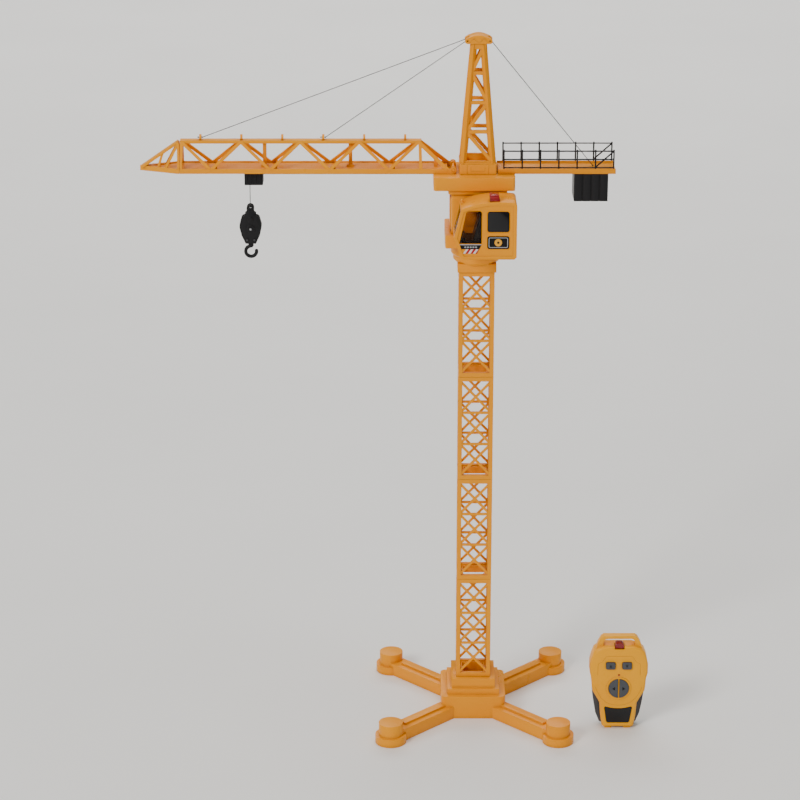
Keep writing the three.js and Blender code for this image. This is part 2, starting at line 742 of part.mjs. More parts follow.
// Each diagonal of the front face has its parallel on the rear face, and the side faces match too.
function headLattice() {
  const out = V(0, -1, 0);
  const top = HEAD_HEIGHT - CAP_H - GAP;
  const bars = [];
  const diagonals = [];
  const corner = (z, s) => {
    const w = headHalfWidth(z) - HEAD_LEG / 2;
    return V(s * w, -w, z);
  };
  bars.push(bar(corner(HEAD_BASE_H - 2, -1), corner(top - 1, -1), HEAD_LEG, HEAD_LEG, V(-1, -1, 0)));
  HEAD_LEVELS.forEach((z, i) => {
    bars.push(bar(corner(z, -1), corner(z, 1), HEAD_BAR, HEAD_BAR - 1, out));
    if (!i) return;
    const side = i % 2 ? 1 : -1;
    diagonals.push(bar(corner(HEAD_LEVELS[i - 1], side), corner(z, -side), HEAD_BAR, HEAD_BAR - 1, out));
  });
  const front = join(diagonals);
  const faces = join(front, front.mirror([0, 1, 0]));
  const half = HEAD_BASE_W / 2;
  const block = layer(roundedRect(-half, half, -half, half, 2), GAP, HEAD_BASE_H);
  const step = post(HEAD_BASE_W - 3, HEAD_BASE_H - 1, HEAD_BASE_H + 2);
  const well = post(HEAD_BASE_W - 14, -1, HEAD_BASE_H + 5);
  const crown = post(HEAD_TOP_W - 0.5, top - 7, top);
  const frame = join(onFourSides(join(bars)), faces, faces.rotate([0, 0, 90]));
  const body = join(frame, block, step).subtract(well);
  return at(body.add(crown).subtract(box(-50, 50, -50, 50, top, top + 20)), 0, 0, DECK_LEVEL);
}

function capShape() {
  const half = CAP_W / 2;
  const s = new THREE.Shape();
  s.moveTo(-half + 4, 0);
  s.lineTo(half - 4, 0);
  s.quadraticCurveTo(half, 0.6, half, 4);
  s.quadraticCurveTo(half - 1, 7, half - 7, 9);
  s.quadraticCurveTo(0, CAP_H + 2.6, -half + 7, 9);
  s.quadraticCurveTo(-half + 1, 7, -half, 4);
  s.quadraticCurveTo(-half, 0.6, -half + 4, 0);
  return s;
}

function headCap() {
  const body = slab(capShape(), -CAP_T / 2, CAP_T / 2);
  const zigzag = [-10, -3.5, 3.5, 10].map((x, i) => {
    const lean = i % 2 ? -3 : 3;
    return bar(V(x - lean, -CAP_T / 2, 1.5), V(x + lean, -CAP_T / 2, 8.2), 0.9, 1, V(0, 1, 0));
  });
  const holes = [-1, 1].map((s) =>
    rod(V(s * EYELET_X, -CAP_T, EYELET_Z), V(s * EYELET_X, CAP_T, EYELET_Z), 1.3, 10),
  );
  const notches = [-1, 1].map((s) =>
    box(Math.min(s * 12.5, s * 30), Math.max(s * 12.5, s * 30), -3, 3, -1, CAP_H + 2),
  );
  let cap = join(body, zigzag);
  for (const cut of [...holes, ...notches]) cap = cap.subtract(cut);
  return at(cap, 0, 0, CAP_Z);
}

// ---------- jib ----------
// A point of the jib: u from the root pin toward the tip, y across, z above its underside.
const J = (u, y, z) => V(JIB_PIN_X - u, y, JIB_Z + z);

function jibBox(u0, u1, y0, y1, z0, z1) {
  return box(JIB_PIN_X - u1, JIB_PIN_X - u0, y0, y1, JIB_Z + z0, JIB_Z + z1);
}

const jibTopNode = (i) => JIB_FIRST_NODE + i * JIB_PITCH;
const FLANGE_Y_MID = JIB_Y - SIDE_T / 2;
const CHORD_TRUSS_Y = CHORD_Y - 1;

// A side truss: s is -1 for the front one, +1 for the rear one.
function jibTruss(s) {
  const foot = (u) => J(u, s * FLANGE_Y_MID, SIDE_H - 2);
  const head = (u) => J(u, s * CHORD_TRUSS_Y, JIB_H - CHORD_T / 2);
  const normal = V(0, s * JIB_H, JIB_Y - CHORD_Y).normalize();
  const bars = [];
  const link = (u0, u1, w) => bars.push(bar(foot(u0), head(u1), w, DIAGONAL_T, normal));
  for (let i = 0; i < JIB_PANELS; i++) {
    const low = jibTopNode(i) + JIB_PITCH / 2;
    link(low, jibTopNode(i), DIAGONAL_W);
    link(low, jibTopNode(i + 1), DIAGONAL_W);
  }
  link(7, JIB_FIRST_NODE, DIAGONAL_W + 1);
  link(JIB_FIRST_NODE - 3, JIB_FIRST_NODE - 2, DIAGONAL_W);
  link(JIB_PEAK - 1, JIB_PEAK - 2, DIAGONAL_W);
  const y = [s * JIB_Y, s * (JIB_Y - SIDE_T)].sort((a, b) => a - b);
  const flange = jibBox(-1, JIB_PEAK, y[0], y[1], 0, SIDE_H);
  const cy = [s * CHORD_Y, s * (CHORD_Y - CHORD_RAIL_W)].sort((a, b) => a - b);
  const top = jibBox(JIB_FIRST_NODE - 4, JIB_PEAK, cy[0], cy[1], JIB_H - CHORD_T, JIB_H);
  const earAt = J(0, y[0], EAR_Z);
  const ear = rod(earAt, J(0, y[1], EAR_Z), EAR_R, 20);
  const pinHole = rod(J(0, y[0] - 1, EAR_Z), J(0, y[1] + 1, EAR_Z), PIN_R + GAP, 16);
  const trim = jibBox(-9, JIB_PEAK + 4, s < 0 ? -JIB_Y - 5 : 0, s < 0 ? 0 : JIB_Y + 5, JIB_H, JIB_H + 6);
  const side = s < 0 ? [-CHORD_Y + CHORD_RAIL_W, 2] : [-2, CHORD_Y - CHORD_RAIL_W];
  const middle = jibBox(-9, JIB_PEAK + 4, side[0], side[1], JIB_H - 12, JIB_H + 1);
  const inner = s < 0 ? [-JIB_Y + SIDE_T, 2] : [-2, JIB_Y - SIDE_T];
  const below = jibBox(-9, JIB_PEAK + 4, inner[0], inner[1], -4, DECK_Z + DECK_T + GAP);
  const ahead = jibBox(JIB_PEAK, JIB_PEAK + 10, -JIB_Y - 5, JIB_Y + 5, -1, JIB_H + 5);
  let truss = join(bars, flange, top, ear);
  for (const cut of [pinHole, trim, middle, below, ahead]) truss = truss.subtract(cut);
  return truss;
}

// The deck plate with the slot rails that carry the trolley.
function jibDeck() {
  const half = JIB_Y - SIDE_T - GAP;
  const plate = jibBox(8, JIB_PEAK, -half, half, DECK_Z, DECK_Z + DECK_T);
  const rails = [-1, 1].flatMap((s) => {
    const web = [s * RAIL_Y, s * (RAIL_Y - 1.2)].sort((a, b) => a - b);
    const lip = [s * RAIL_Y, s * (RAIL_Y - RAIL_LIP)].sort((a, b) => a - b);
    return [
      jibBox(40, JIB_PEAK, web[0], web[1], 0, DECK_Z + 0.5),
      jibBox(40, JIB_PEAK, lip[0], lip[1], 0, 1),
    ];
  });
  const posts = [
    [139, 5],
    [255, 5],
  ].map(([u, w]) => {
    const stem = jibBox(u - w / 2, u + w / 2, -1.6, 1.6, DECK_Z + 1, JIB_H - CHORD_T - GAP);
    const foot = jibBox(u - w, u + w, -3, 3, DECK_Z + 1, DECK_Z + DECK_T + 3);
    return join(stem, foot);
  });
  const short = jibBox(21, 26, -1.6, 1.6, DECK_Z + 1, 15);
  const pegs = [80, 160, 239, 320].flatMap((u) =>
    [-1, 1].map((s) => rod(J(u, s * 13, DECK_Z + 1), J(u, s * 13, DECK_Z + DECK_T + 5), 1.3, 8)),
  );
  return join(plate, rails, posts, short, pegs);
}

function jibTopChord() {
  const half = CHORD_Y - CHORD_RAIL_W - GAP;
  const strip = jibBox(JIB_FIRST_NODE - 4, JIB_PEAK, -half, half, JIB_H - CHORD_T, JIB_H);
  const rings = [];
  for (let i = 0; i < LOOPS; i++) {
    const u = LOOP_FIRST + i * LOOP_PITCH;
    const z = RING_CENTRE_Z;
    const disc = rod(J(u - LOOP_T / 2, 0, z), J(u + LOOP_T / 2, 0, z), LOOP_OUTER, 16);
    const hole = rod(J(u - LOOP_T, 0, z), J(u + LOOP_T, 0, z), LOOP_HOLE, 12);
    rings.push(disc.subtract(hole));
  }
  return join(strip, rings);
}

// The closed pointed nose: tapering floor, sloping roof strip and two side cheeks.
function jibNose() {
  const u0 = JIB_PEAK + GAP;
  const tip = JIB_LENGTH;
  const x0 = JIB_PIN_X - u0;
  const x1 = JIB_PIN_X - tip;
  const floor = layer(
    polygon([
      [x1, 1.6],
      [x1, -1.6],
      [x0 - 3, -JIB_Y],
      [x0, -JIB_Y],
      [x0, JIB_Y],
      [x0 - 3, JIB_Y],
    ]),
    JIB_Z,
    JIB_Z + SIDE_H,
  );
  const floorPocket = layer(
    polygon([
      [x1 + 16, 0.6],
      [x1 + 16, -0.6],
      [x0 - 3, -JIB_Y + SIDE_T + 0.6],
      [x0 - 3, JIB_Y - SIDE_T - 0.6],
    ]),
    JIB_Z + DECK_Z + DECK_T,
    JIB_Z + SIDE_H + 1,
  );
  const top = J(u0 + 2.2, 0, JIB_H - CHORD_T / 2 - 0.4);
  const end = J(tip - 3, 0, SIDE_H - 1.6);
  const roof = bar(top, end, 2 * CHORD_Y, CHORD_T - 1, V(0, 0, 1));
  const cheeks = [-1, 1].flatMap((s) => {
    const n = V(0, s * JIB_H, JIB_Y - CHORD_Y).normalize();
    const head = J(u0 + 2.4, s * CHORD_TRUSS_Y, JIB_H - CHORD_T);
    const mid = J(u0 + 24, s * 4, JIB_H - 19);
    return [
      bar(J(u0 + 1.6, s * (FLANGE_Y_MID - 0.6), SIDE_H - 2), head, 3, DIAGONAL_T, n),
      bar(J(u0 + 20, s * 14, SIDE_H - 2), head, 3.4, DIAGONAL_T, n),
      bar(J(u0 + 30, s * 9.4, SIDE_H - 2), mid, 3, DIAGONAL_T, n),
    ];
  });
  const behind = box(x0, x0 + 20, -40, 40, JIB_Z - 5, JIB_Z + 60);
  const above = jibBox(JIB_PEAK - 5, JIB_PEAK + 20, -20, 20, JIB_H, JIB_H + 8);
  return join(floor.subtract(floorPocket), roof, cheeks).subtract(behind).subtract(above);
}

function jibHingePin() {
  const y = JIB_Y + 1;
  return rod(J(0, -y, EAR_Z), J(0, y, EAR_Z), PIN_R, 16);
}

// ---------- counter-jib ----------
function counterJibDeck() {
  const z0 = JIB_Z;
  const floor = box(COUNTER_START, COUNTER_END, -COUNTER_Y, COUNTER_Y, z0 + 2, z0 + 4.5);
  const sides = [-1, 1].map((s) => {
    const y = [s * COUNTER_Y, s * (COUNTER_Y + 2)].sort((a, b) => a - b);
    return box(COUNTER_START, COUNTER_END, y[0] - 0.1, y[1] + 0.1, z0, z0 + COUNTER_H);
  });
  const count = 6;
  const ribs = [];
  for (let i = 0; i <= count; i++) {
    const x = COUNTER_START + 3 + ((COUNTER_END - COUNTER_START - 6) * i) / count;
    ribs.push(box(x - 1, x + 1, -COUNTER_Y - 0.5, COUNTER_Y + 0.5, z0 + 0.4, z0 + 3));
  }
  return join(floor, sides, ribs);
}

// A black guard rail with posts: s is -1 for the front one, +1 for the rear one.
function railing(s) {
  const y = s * (COUNTER_Y + 0.9);
  const foot = JIB_Z + COUNTER_H + GAP;
  const start = 34;
  const end = COUNTER_END - 2;
  const bars = [];
  for (const z of [2, RAILING_H / 2 + 1, RAILING_H]) {
    bars.push(box(start + 0.5, end - 0.5, y - 0.8, y + 0.8, foot + z - 1.4, foot + z));
  }
  for (let i = 0; i < RAILING_POSTS; i++) {
    const x = start + 1 + ((end - start - 2) * i) / (RAILING_POSTS - 1);
    bars.push(box(x - 1, x + 1, y - 1, y + 1, foot, foot + RAILING_H + 1));
  }
  const brace = bar(V(end - 26, y, foot + 1.4), V(end - 1.2, y, foot + RAILING_H - 1), 1.8, 1.3, V(0, 1, 0));
  return join(bars, brace);
}

function counterweight() {
  const top = JIB_Z - GAP;
  const x1 = WEIGHT_X + WEIGHT_LENGTH;
  const body = box(WEIGHT_X, x1, -COUNTER_Y - 2, COUNTER_Y + 2, top - WEIGHT_H, top);
  const grooves = [1, 2, 3].flatMap((i) => {
    const x = WEIGHT_X + (WEIGHT_LENGTH * i) / 4;
    return [-1, 1].map((s) => {
      const y = s * (COUNTER_Y + 2);
      return box(x - 0.8, x + 0.8, y - 0.9, y + 0.9, top - WEIGHT_H - 1, top + 1);
    });
  });
  let weight = body;
  for (const groove of grooves) weight = weight.subtract(groove);
  return weight;
}

// ---------- lines ----------
function pendantLine(loopIndex) {
  const u = LOOP_FIRST + loopIndex * LOOP_PITCH;
  const knot = J(u + LOOP_T, 0, RING_CENTRE_Z);
  const turn = J(u - LOOP_T, 0, RING_CENTRE_Z);
  const offset = loopIndex > LOOPS / 2 ? 1.2 : -1.2; // the two lines leave the eyelet one above the other
  const near = V(-EYELET_X - 0.6, 0, CAP_Z + EYELET_Z + offset);
  const runs = [rod(near, turn, LINE_R, 8), rod(turn, knot, LINE_R, 8)];
  const knots = [ball(knot, 1.1, 8), ball(turn, 1, 8), ball(near, 1.1, 8)];
  return join(runs, knots);
}

function counterPendant() {
  const near = V(EYELET_X + 0.6, 0, CAP_Z + EYELET_Z);
  const far = V(COUNTER_END - 30, 0, JIB_Z + 6);
  return join(rod(near, far, LINE_R, 8), ball(far, 1.2, 8), ball(near, 1.1, 8));
}

function hoistLineJib() {
  return rod(V(DRUM_X, 0, LINE_Z), V(TROLLEY_X, 0, LINE_Z), LINE_R, 8);
}

// A round bar swept along a flat arc in the XZ plane, from angle a0 to a1.
function arcBar(centre, arcRadius, a0, a1, radius, steps, sides) {
  const curve = new THREE.Curve();
  curve.getPoint = (t) => {
    const a = a0 + (a1 - a0) * t;
    return V(centre.x + arcRadius * Math.cos(a), centre.y, centre.z + arcRadius * Math.sin(a));
  };
  const section = [];
  for (let i = 0; i < sides; i++) {
    const a = (2 * Math.PI * i) / sides;
    section.push([radius * Math.cos(a), radius * Math.sin(a)]);
  }
  const options = { steps, extrudePath: curve, bevelEnabled: false };
  return solid(new THREE.ExtrudeGeometry(polygon(section), options));
}

// The hoist line over the trolley pulley and down to the eye of the hook block.
function hoistLineDrop() {
  const r = PULLEY_R + LINE_R;
  const centre = V(TROLLEY_X - GAP, 0, LINE_Z - r);
  const turn = arcBar(centre, r, Math.PI / 2, Math.PI, LINE_R, 6, 8);
  const top = V(centre.x - r, 0, centre.z + 0.1);
  const knot = V(top.x, 0, BLOCK_Z + EYE_Z);
  return join(turn, rod(top, knot, LINE_R, 8), ball(knot, 1.2, 8));
}

// ---------- trolley ----------
function trolleyBody() {
  const top = JIB_Z - GAP;
  const half = TROLLEY_W / 2;
  const block = box(-half, half, -half, half, top - TROLLEY_H, top);
  const stem = box(-half + 2, half - 2, -6.8, 6.8, top - 1, JIB_Z + 1.4);
  const head = box(-half + 2, half - 2, -9.6, 9.6, JIB_Z + 1.3, JIB_Z + 2.6);
  const ribs = [];
  for (let i = 0; i < 4; i++) {
    const x = -half + 3.2 + i * 6.2;
    ribs.push(box(x - 1, x + 1, -half - 1, half + 1, top - TROLLEY_H + 1, top - 1));
  }
  const slot = box(-half - 2, half + 2, -2.4, 2.4, top - TROLLEY_H - 1, top - 3);
  const pinHole = rod(V(0, -7, PULLEY_Z), V(0, 7, PULLEY_Z), 1.5, 12);
  return at(join(block, stem, head, ribs).subtract(slot).subtract(pinHole), TROLLEY_X, 0, 0);
}

// A grooved wheel on the Y axis.
function groovedWheel(radius, halfWidth) {
  const lip = radius + 1.4;
  const profile = [
    [0, -halfWidth],
    [lip, -halfWidth],
    [radius - 0.4, 0],
    [lip, halfWidth],
    [0, halfWidth],
  ];
  return lathe(profile, 28).rotate([90, 0, 0]);
}

function trolleyPulley() {
  const wheel = join(groovedWheel(PULLEY_R, 1.8), rod(V(0, -6.6, 0), V(0, 6.6, 0), 1.2, 12));
  return at(wheel, TROLLEY_X, 0, PULLEY_Z);
}

// ---------- hook block ----------
function blockShape() {
  const w = BLOCK_HALF_W;
  const s = new THREE.Shape();
  s.moveTo(-7, BLOCK_BOTTOM);
  s.lineTo(7, BLOCK_BOTTOM);
  s.lineTo(w - 2.5, -9);
  s.lineTo(w, 2);
  s.lineTo(w, 6);
  s.lineTo(w - 3, 16.5);
  s.lineTo(9.2, 18.5);
  s.lineTo(7.6, 18.5);
  s.lineTo(7.6, 21.5);
  s.lineTo(5, 23);
  s.lineTo(5, EYE_Z);
  s.absarc(0, EYE_Z, 5, 0, Math.PI, false);
  s.lineTo(-5, 23);
  s.lineTo(-7.6, 21.5);
  s.lineTo(-7.6, 18.5);
  s.lineTo(-9.2, 18.5);
  s.lineTo(-w + 3, 16.5);
  s.lineTo(-w, 6);
  s.lineTo(-w, 2);
  s.lineTo(-w + 2.5, -9);
  return s;
}

// One cheek plate: s is -1 for the front one, +1 for the rear one.
function blockPlate(s) {
  const inner = s * (BLOCK_SPACE / 2);
  const outer = s * (BLOCK_SPACE / 2 + BLOCK_PLATE_T);
  const y0 = Math.min(inner, outer);
  const y1 = Math.max(inner, outer);
  const plate = slab(blockShape(), y0, y1);
  const boss = rod(V(0, inner, 0), V(0, outer + s * 1.2, 0), 5.6, 24);
  const screwBosses = [-5, 5].map((x) => rod(V(x, outer, -15.5), V(x, outer + s * 0.8, -15.5), 1.9, 12));
  const upperRing = rod(V(0, outer, 13), V(0, outer + s * 0.8, 13), 4, 16);
  const pinHole = rod(V(0, -10, 0), V(0, 10, 0), SHEAVE_PIN_R + GAP, 16);
  const eye = rod(V(0, -10, EYE_Z), V(0, 10, EYE_Z), 2, 12);
  return at(
    join(plate, boss, screwBosses, upperRing).subtract(pinHole).subtract(eye),
    BLOCK_X,
    0,
    BLOCK_Z,
  );
}

function hookSheave() {
  const wheel = groovedWheel(SHEAVE_R, 2.3);
  const bore = rod(V(0, -5, 0), V(0, 5, 0), SHEAVE_PIN_R + GAP, 16);
  return at(wheel.subtract(bore), BLOCK_X, 0, BLOCK_Z);
}

function hookSheavePin() {
  const y = BLOCK_SPACE / 2 + BLOCK_PLATE_T + 2;
  return at(rod(V(0, -y, 0), V(0, y, 0), SHEAVE_PIN_R, 16), BLOCK_X, 0, BLOCK_Z);
}

// The hook: an open round bowl of thick bar, with a shank that swivels in the block.
function craneHook() {
  const r = HOOK_BOWL_R;
  const from = (100 * Math.PI) / 180;
  const to = (366 * Math.PI) / 180;
  const centre = V(0, 0, HOOK_BOWL_Z);
  const bowl = arcBar(centre, r, from, to, HOOK_WIRE, 18, 10);
  const point = ball(V(r * Math.cos(to), 0, HOOK_BOWL_Z + r * Math.sin(to)), HOOK_WIRE + 0.1, 10);
  const shank = rod(V(0, 0, HOOK_BOWL_Z + r - 1.5), V(0, 0, BLOCK_BOTTOM + 3.2), 2.4, 14);
  const collar = rod(V(0, 0, BLOCK_BOTTOM - 4.5), V(0, 0, BLOCK_BOTTOM - 0.5), 3.7, 16);
  const head = rod(V(0, 0, BLOCK_BOTTOM + 3), V(0, 0, BLOCK_BOTTOM + 6), 2.45, 14);
  return at(join(bowl, point, shank, collar, head), BLOCK_X, 0, BLOCK_Z);
}

// ---------- remote control ----------
const inRemote = (body) => at(body, REMOTE_X, REMOTE_Y, 0);

// Right half of the yellow body's outline in (x, z), from its foot up.
const REMOTE_BODY_HALF = [
  [20.5, REMOTE_FOOT],
  [22.5, 5],
  [25, 20],
  [26.5, 40],
  [29.5, 46],
  [37, 59],
  [38, 66],
  [38.8, 78],
  [REMOTE_W / 2, 86],
  [REMOTE_W / 2, 100],
  [39, 110],
  [35.5, 119],
  [29, 124.5],
  [18, REMOTE_BODY_TOP],
];

// Right half of the grey grip's outline, which stands out beside the narrow end of the body
// and is cut off level at REMOTE_GRIP_TOP.
const REMOTE_GRIP_HALF = [
  [20, REMOTE_FOOT],
  [26, 6],
  [31.5, 20],
  [35, 40],
  [36.6, 52],
  [37, REMOTE_GRIP_TOP + 6],
];

const mirrored = (half) => [...half, ...[...half].reverse().map(([x, z]) => [-x, z])];

// A shape drawn in (x, z) from y0 to y1, with its front (s = -1) or rear (s = 1) edge rounded.
function softSlab(shape, y0, y1, s) {
  const r = REMOTE_EDGE_R;
  const g = new THREE.ExtrudeGeometry(shape, {
    depth: y1 - y0 - r,
    bevelThickness: r,
    bevelSize: r,
    bevelOffset: -r,
    bevelSegments: 3,
  });
  g.rotateX(Math.PI / 2);
  g.translate(0, s < 0 ? y1 : y1 - r, 0);
  const far = 2 * REMOTE_H;
  const spare = s < 0 ? [y1, y1 + 2 * r] : [y0 - 2 * r, y0];
  return solid(g).subtract(box(-far, far, spare[0], spare[1], -far, far));
}

// The loop over the top of the body, open where fingers pass through it.
function remoteHandle() {
  const outer = mirrored([
    [33, 112],
    [32.6, 122],
    [29.8, 131],
    [25.5, 138.5],
    [22, REMOTE_H],
  ]);
  const gap = roundedRect(-22.5, 22.5, 118, REMOTE_H - 4.2, 7);
  return slab(polygon(outer), -5, 6).subtract(slab(gap, -6, 7));
}

function remoteButtonsLayout() {
  return [
    ["remote_button_up", -12, 99],
    ["remote_button_down", 11, 99],
  ];
}

// Inside of the remote, which both of its shells share.
const remoteCavity = (y0, y1) => slab(polygon(inset(mirrored(REMOTE_BODY_HALF), 3.2)), y0, y1);

function remoteTopShell() {
  const y0 = -REMOTE_TOP_T;
  const y1 = REMOTE_BOTTOM_T;
  const outline = polygon(mirrored(REMOTE_BODY_HALF));
  const front = softSlab(outline, y0, -GAP / 2, -1);
  const lower = box(-REMOTE_W, REMOTE_W, -1, y1 + 1, -1, REMOTE_GRIP_TOP + GAP);
  const rear = softSlab(outline, -2, y1, 1).subtract(lower);
  const feet = [-1, 1].map((s) => box(s * 13.5 - 5, s * 13.5 + 5, -9, -1, 0, 6));
  const pad = rod(V(0, y0 - 1, ROUND_KEY_Z), V(0, y0 + 2, ROUND_KEY_Z), ROUND_BUTTON_R + 3, 36);
  const web = box(-KEY_WEB / 2, KEY_WEB / 2, y0 - 0.8, y0 + WALL, ROUND_KEY_Z - 16, ROUND_KEY_Z + 16);
  const halfW = KEY_HALF_W + KEY_CLEARANCE;
  const halfH = KEY_HALF_H + KEY_CLEARANCE;
  const cuts = remoteButtonsLayout().map(([, x, z]) =>
    slab(roundedRect(x - halfW, x + halfW, z - halfH, z + halfH, 2.3), y0 - 5, y0 + 8),
  );
  const round = rod(V(0, y0 - 5, ROUND_KEY_Z), V(0, y0 + 8, ROUND_KEY_Z), ROUND_BUTTON_R + KEY_CLEARANCE, 36);
  cuts.push(round.subtract(web));
  cuts.push(slab(remoteWindowShape(-GAP), y0 - 5, y0 + 1.6));
  cuts.push(box(-6.9, 6.9, y0 - 5, 1.5, 123.8, 133));
  let body = join(front, rear, remoteHandle()).subtract(remoteCavity(y0 + WALL, y1 - WALL));
  body = body.add(pad.subtract(remoteCavity(y0 + WALL, y1))).add(join(feet));
  for (const cut of cuts) body = body.subtract(cut);
  return inRemote(body);
}

// A trapezoid whose upper edge follows the round pad above it.
function remoteWindowShape(d) {
  const half = [
    [14.5, 10],
    [16.2, 11.6],
    [19.6, 33.6],
    [18.2, 35],
    [10, 32.9],
    [4, 32.2],
  ];
  return polygon(inset(mirrored(half), d));
}

// The grey grip, which closes the lower half of the back.
function remoteBottomShell() {
  const y1 = REMOTE_BOTTOM_T;
  const outer = softSlab(polygon(mirrored(REMOTE_GRIP_HALF)), GAP / 2, y1, 1);
  const above = box(-REMOTE_W, REMOTE_W, -1, y1 + 1, REMOTE_GRIP_TOP, REMOTE_H);
  const feet = [-1, 1].map((s) => box(s * 16 - 6, s * 16 + 6, 1, y1 - 5, 0, 6));
  const body = join(outer.subtract(above), feet);
  return inRemote(body.subtract(remoteCavity(-1, y1 - WALL)));
}

function remoteButton(x, z) {
  const face = -REMOTE_TOP_T - BUTTON_PROUD;
  const outline = roundedRect(x - KEY_HALF_W, x + KEY_HALF_W, z - KEY_HALF_H, z + KEY_HALF_H, 2);
  const key = slab(outline, face, face + BUTTON_DEPTH);
  const skirtY = -REMOTE_TOP_T + WALL + GAP;
  const skirt = box(x - 8.4, x + 8.4, skirtY, skirtY + 1.6, z - 7, z + 7);
  return inRemote(join(key, skirt));
}

// Half of the round turning key: s is -1 for left, +1 for right.
function turnButton(s) {
  const face = -REMOTE_TOP_T - BUTTON_PROUD;
  const z = ROUND_KEY_Z;
  const disc = rod(V(0, face, z), V(0, face + BUTTON_DEPTH, z), ROUND_BUTTON_R, 36);
  const near = KEY_WEB / 2 + GAP;
  const x0 = s < 0 ? -ROUND_BUTTON_R - 1 : near;
  const x1 = s < 0 ? -near : ROUND_BUTTON_R + 1;
  return inRemote(disc.intersect(box(x0, x1, face - 1, face + 9, z - 24, z + 24)));
}

function remoteLens() {
  const shape = mirrored([
    [6.4, 124.3],
    [6.2, 128.5],
    [5.2, 131],
    [3.4, 132.2],
  ]);
  return inRemote(slab(polygon(shape), -10.5, 1));
}

function remoteWindow() {
  const y0 = -REMOTE_TOP_T;
  return inRemote(slab(remoteWindowShape(0.1), y0 - 0.3, y0 + 1.2));
}

function remoteBoard() {
  const board = box(-20, 20, 0.6, 2.2, 20, 108);
  const chip = box(-8, 8, 2, 4, 40, 56);
  return inRemote(join(board, chip));
}

// ---------- assembly ----------
piece("base_frame", baseFrame(), YELLOW);
piece("base_cover", baseCover(), BLACK);
const section = mastSection();
for (let i = 0; i < SECTIONS; i++) {
  piece(`mast_section_${i + 1}`, at(section, 0, 0, BASE_HEIGHT + GAP + i * SECTION_PITCH), YELLOW);
}
piece("mast_collar", mastCollar(), YELLOW);
piece("slew_gear", at(gear(SLEW_GEAR_TEETH, GEAR_T, SPINDLE_R + GAP, 0), 0, 0, GEAR_Z), WHITE);

piece("turret_flange", turretFlange(), YELLOW);
piece("turret_shell_front", turretShell(-1), YELLOW);
piece("turret_shell_rear", turretShellRear(), YELLOW);
piece("turret_platform", turretPlatform(), YELLOW);
piece("slew_motor", slewMotor(), STEEL);
piece("slew_pinion", slewPinion(), WHITE);
piece("hoist_motor", hoistMotor(), STEEL);
piece("winch_drum", winchDrum(), WHITE);
piece("control_board", controlBoard(), GREEN);
piece("battery_pack", batteryPack(), GREY);
piece("charging_socket", chargingSocket(), STEEL);
piece("power_switch", powerSwitch(), BLACK);

piece("cab_shell", cabShell(), YELLOW);
piece("cab_inner_wall", cabInnerWall(), ORANGE);
piece("cab_windshield", inCab(windshieldBlock(3, PANE_T, GAP)), GLAZING);
const paneY = CAB_FRONT + 1.2;
piece("cab_side_window", inCab(slab(windowShape(GAP), paneY, paneY + PANE_T)), GLAZING);
piece("cab_rear_window", inCab(slab(rearWindowShape(GAP), paneY, paneY + PANE_T)), GLAZING);
piece("cab_seat", cabSeat(), BLACK);
piece("roof_light_lens", roofLens(), RED_LENS);

piece("head_lattice", headLattice(), YELLOW);
piece("head_cap", headCap(), YELLOW);

piece("jib_deck", jibDeck(), YELLOW);
piece("jib_truss_front", jibTruss(-1), YELLOW);
piece("jib_truss_rear", jibTruss(1), YELLOW);
piece("jib_top_chord", jibTopChord(), YELLOW);
piece("jib_nose", jibNose(), YELLOW);
piece("jib_hinge_pin", jibHingePin(), YELLOW);

piece("counter_jib_deck", counterJibDeck(), YELLOW);
piece("railing_front", railing(-1), BLACK);
piece("railing_rear", railing(1), BLACK);
piece("counterweight", counterweight(), BLACK);

piece("pendant_line_tip", pendantLine(5), STRING);
piece("pendant_line_middle", pendantLine(2), STRING);
piece("pendant_line_counter", counterPendant(), STRING);
piece("hoist_line_jib", hoistLineJib(), STRING);
piece("hoist_line_drop", hoistLineDrop(), STRING);

piece("trolley_body", trolleyBody(), BLACK);
piece("trolley_pulley", trolleyPulley(), GREY);
piece("hook_plate_front", blockPlate(-1), BLACK);
piece("hook_plate_rear", blockPlate(1), BLACK);
piece("hook_sheave", hookSheave(), BLACK);
piece("hook_sheave_pin", hookSheavePin(), STEEL);
piece("crane_hook", craneHook(), BLACK);

piece("remote_top_shell", remoteTopShell(), YELLOW);
piece("remote_bottom_shell", remoteBottomShell(), GREY);
for (const [name, x, z] of remoteButtonsLayout()) piece(name, remoteButton(x, z), GREY);
piece("remote_button_left", turnButton(-1), GREY);
piece("remote_button_right", turnButton(1), GREY);
piece("remote_lens", remoteLens(), RED_LENS);
piece("remote_window", remoteWindow(), GLAZING);
piece("remote_board", remoteBoard(), GREEN);

export default crane;
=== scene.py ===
import json
import math

import bmesh
import bpy
from mathutils import Matrix, Vector


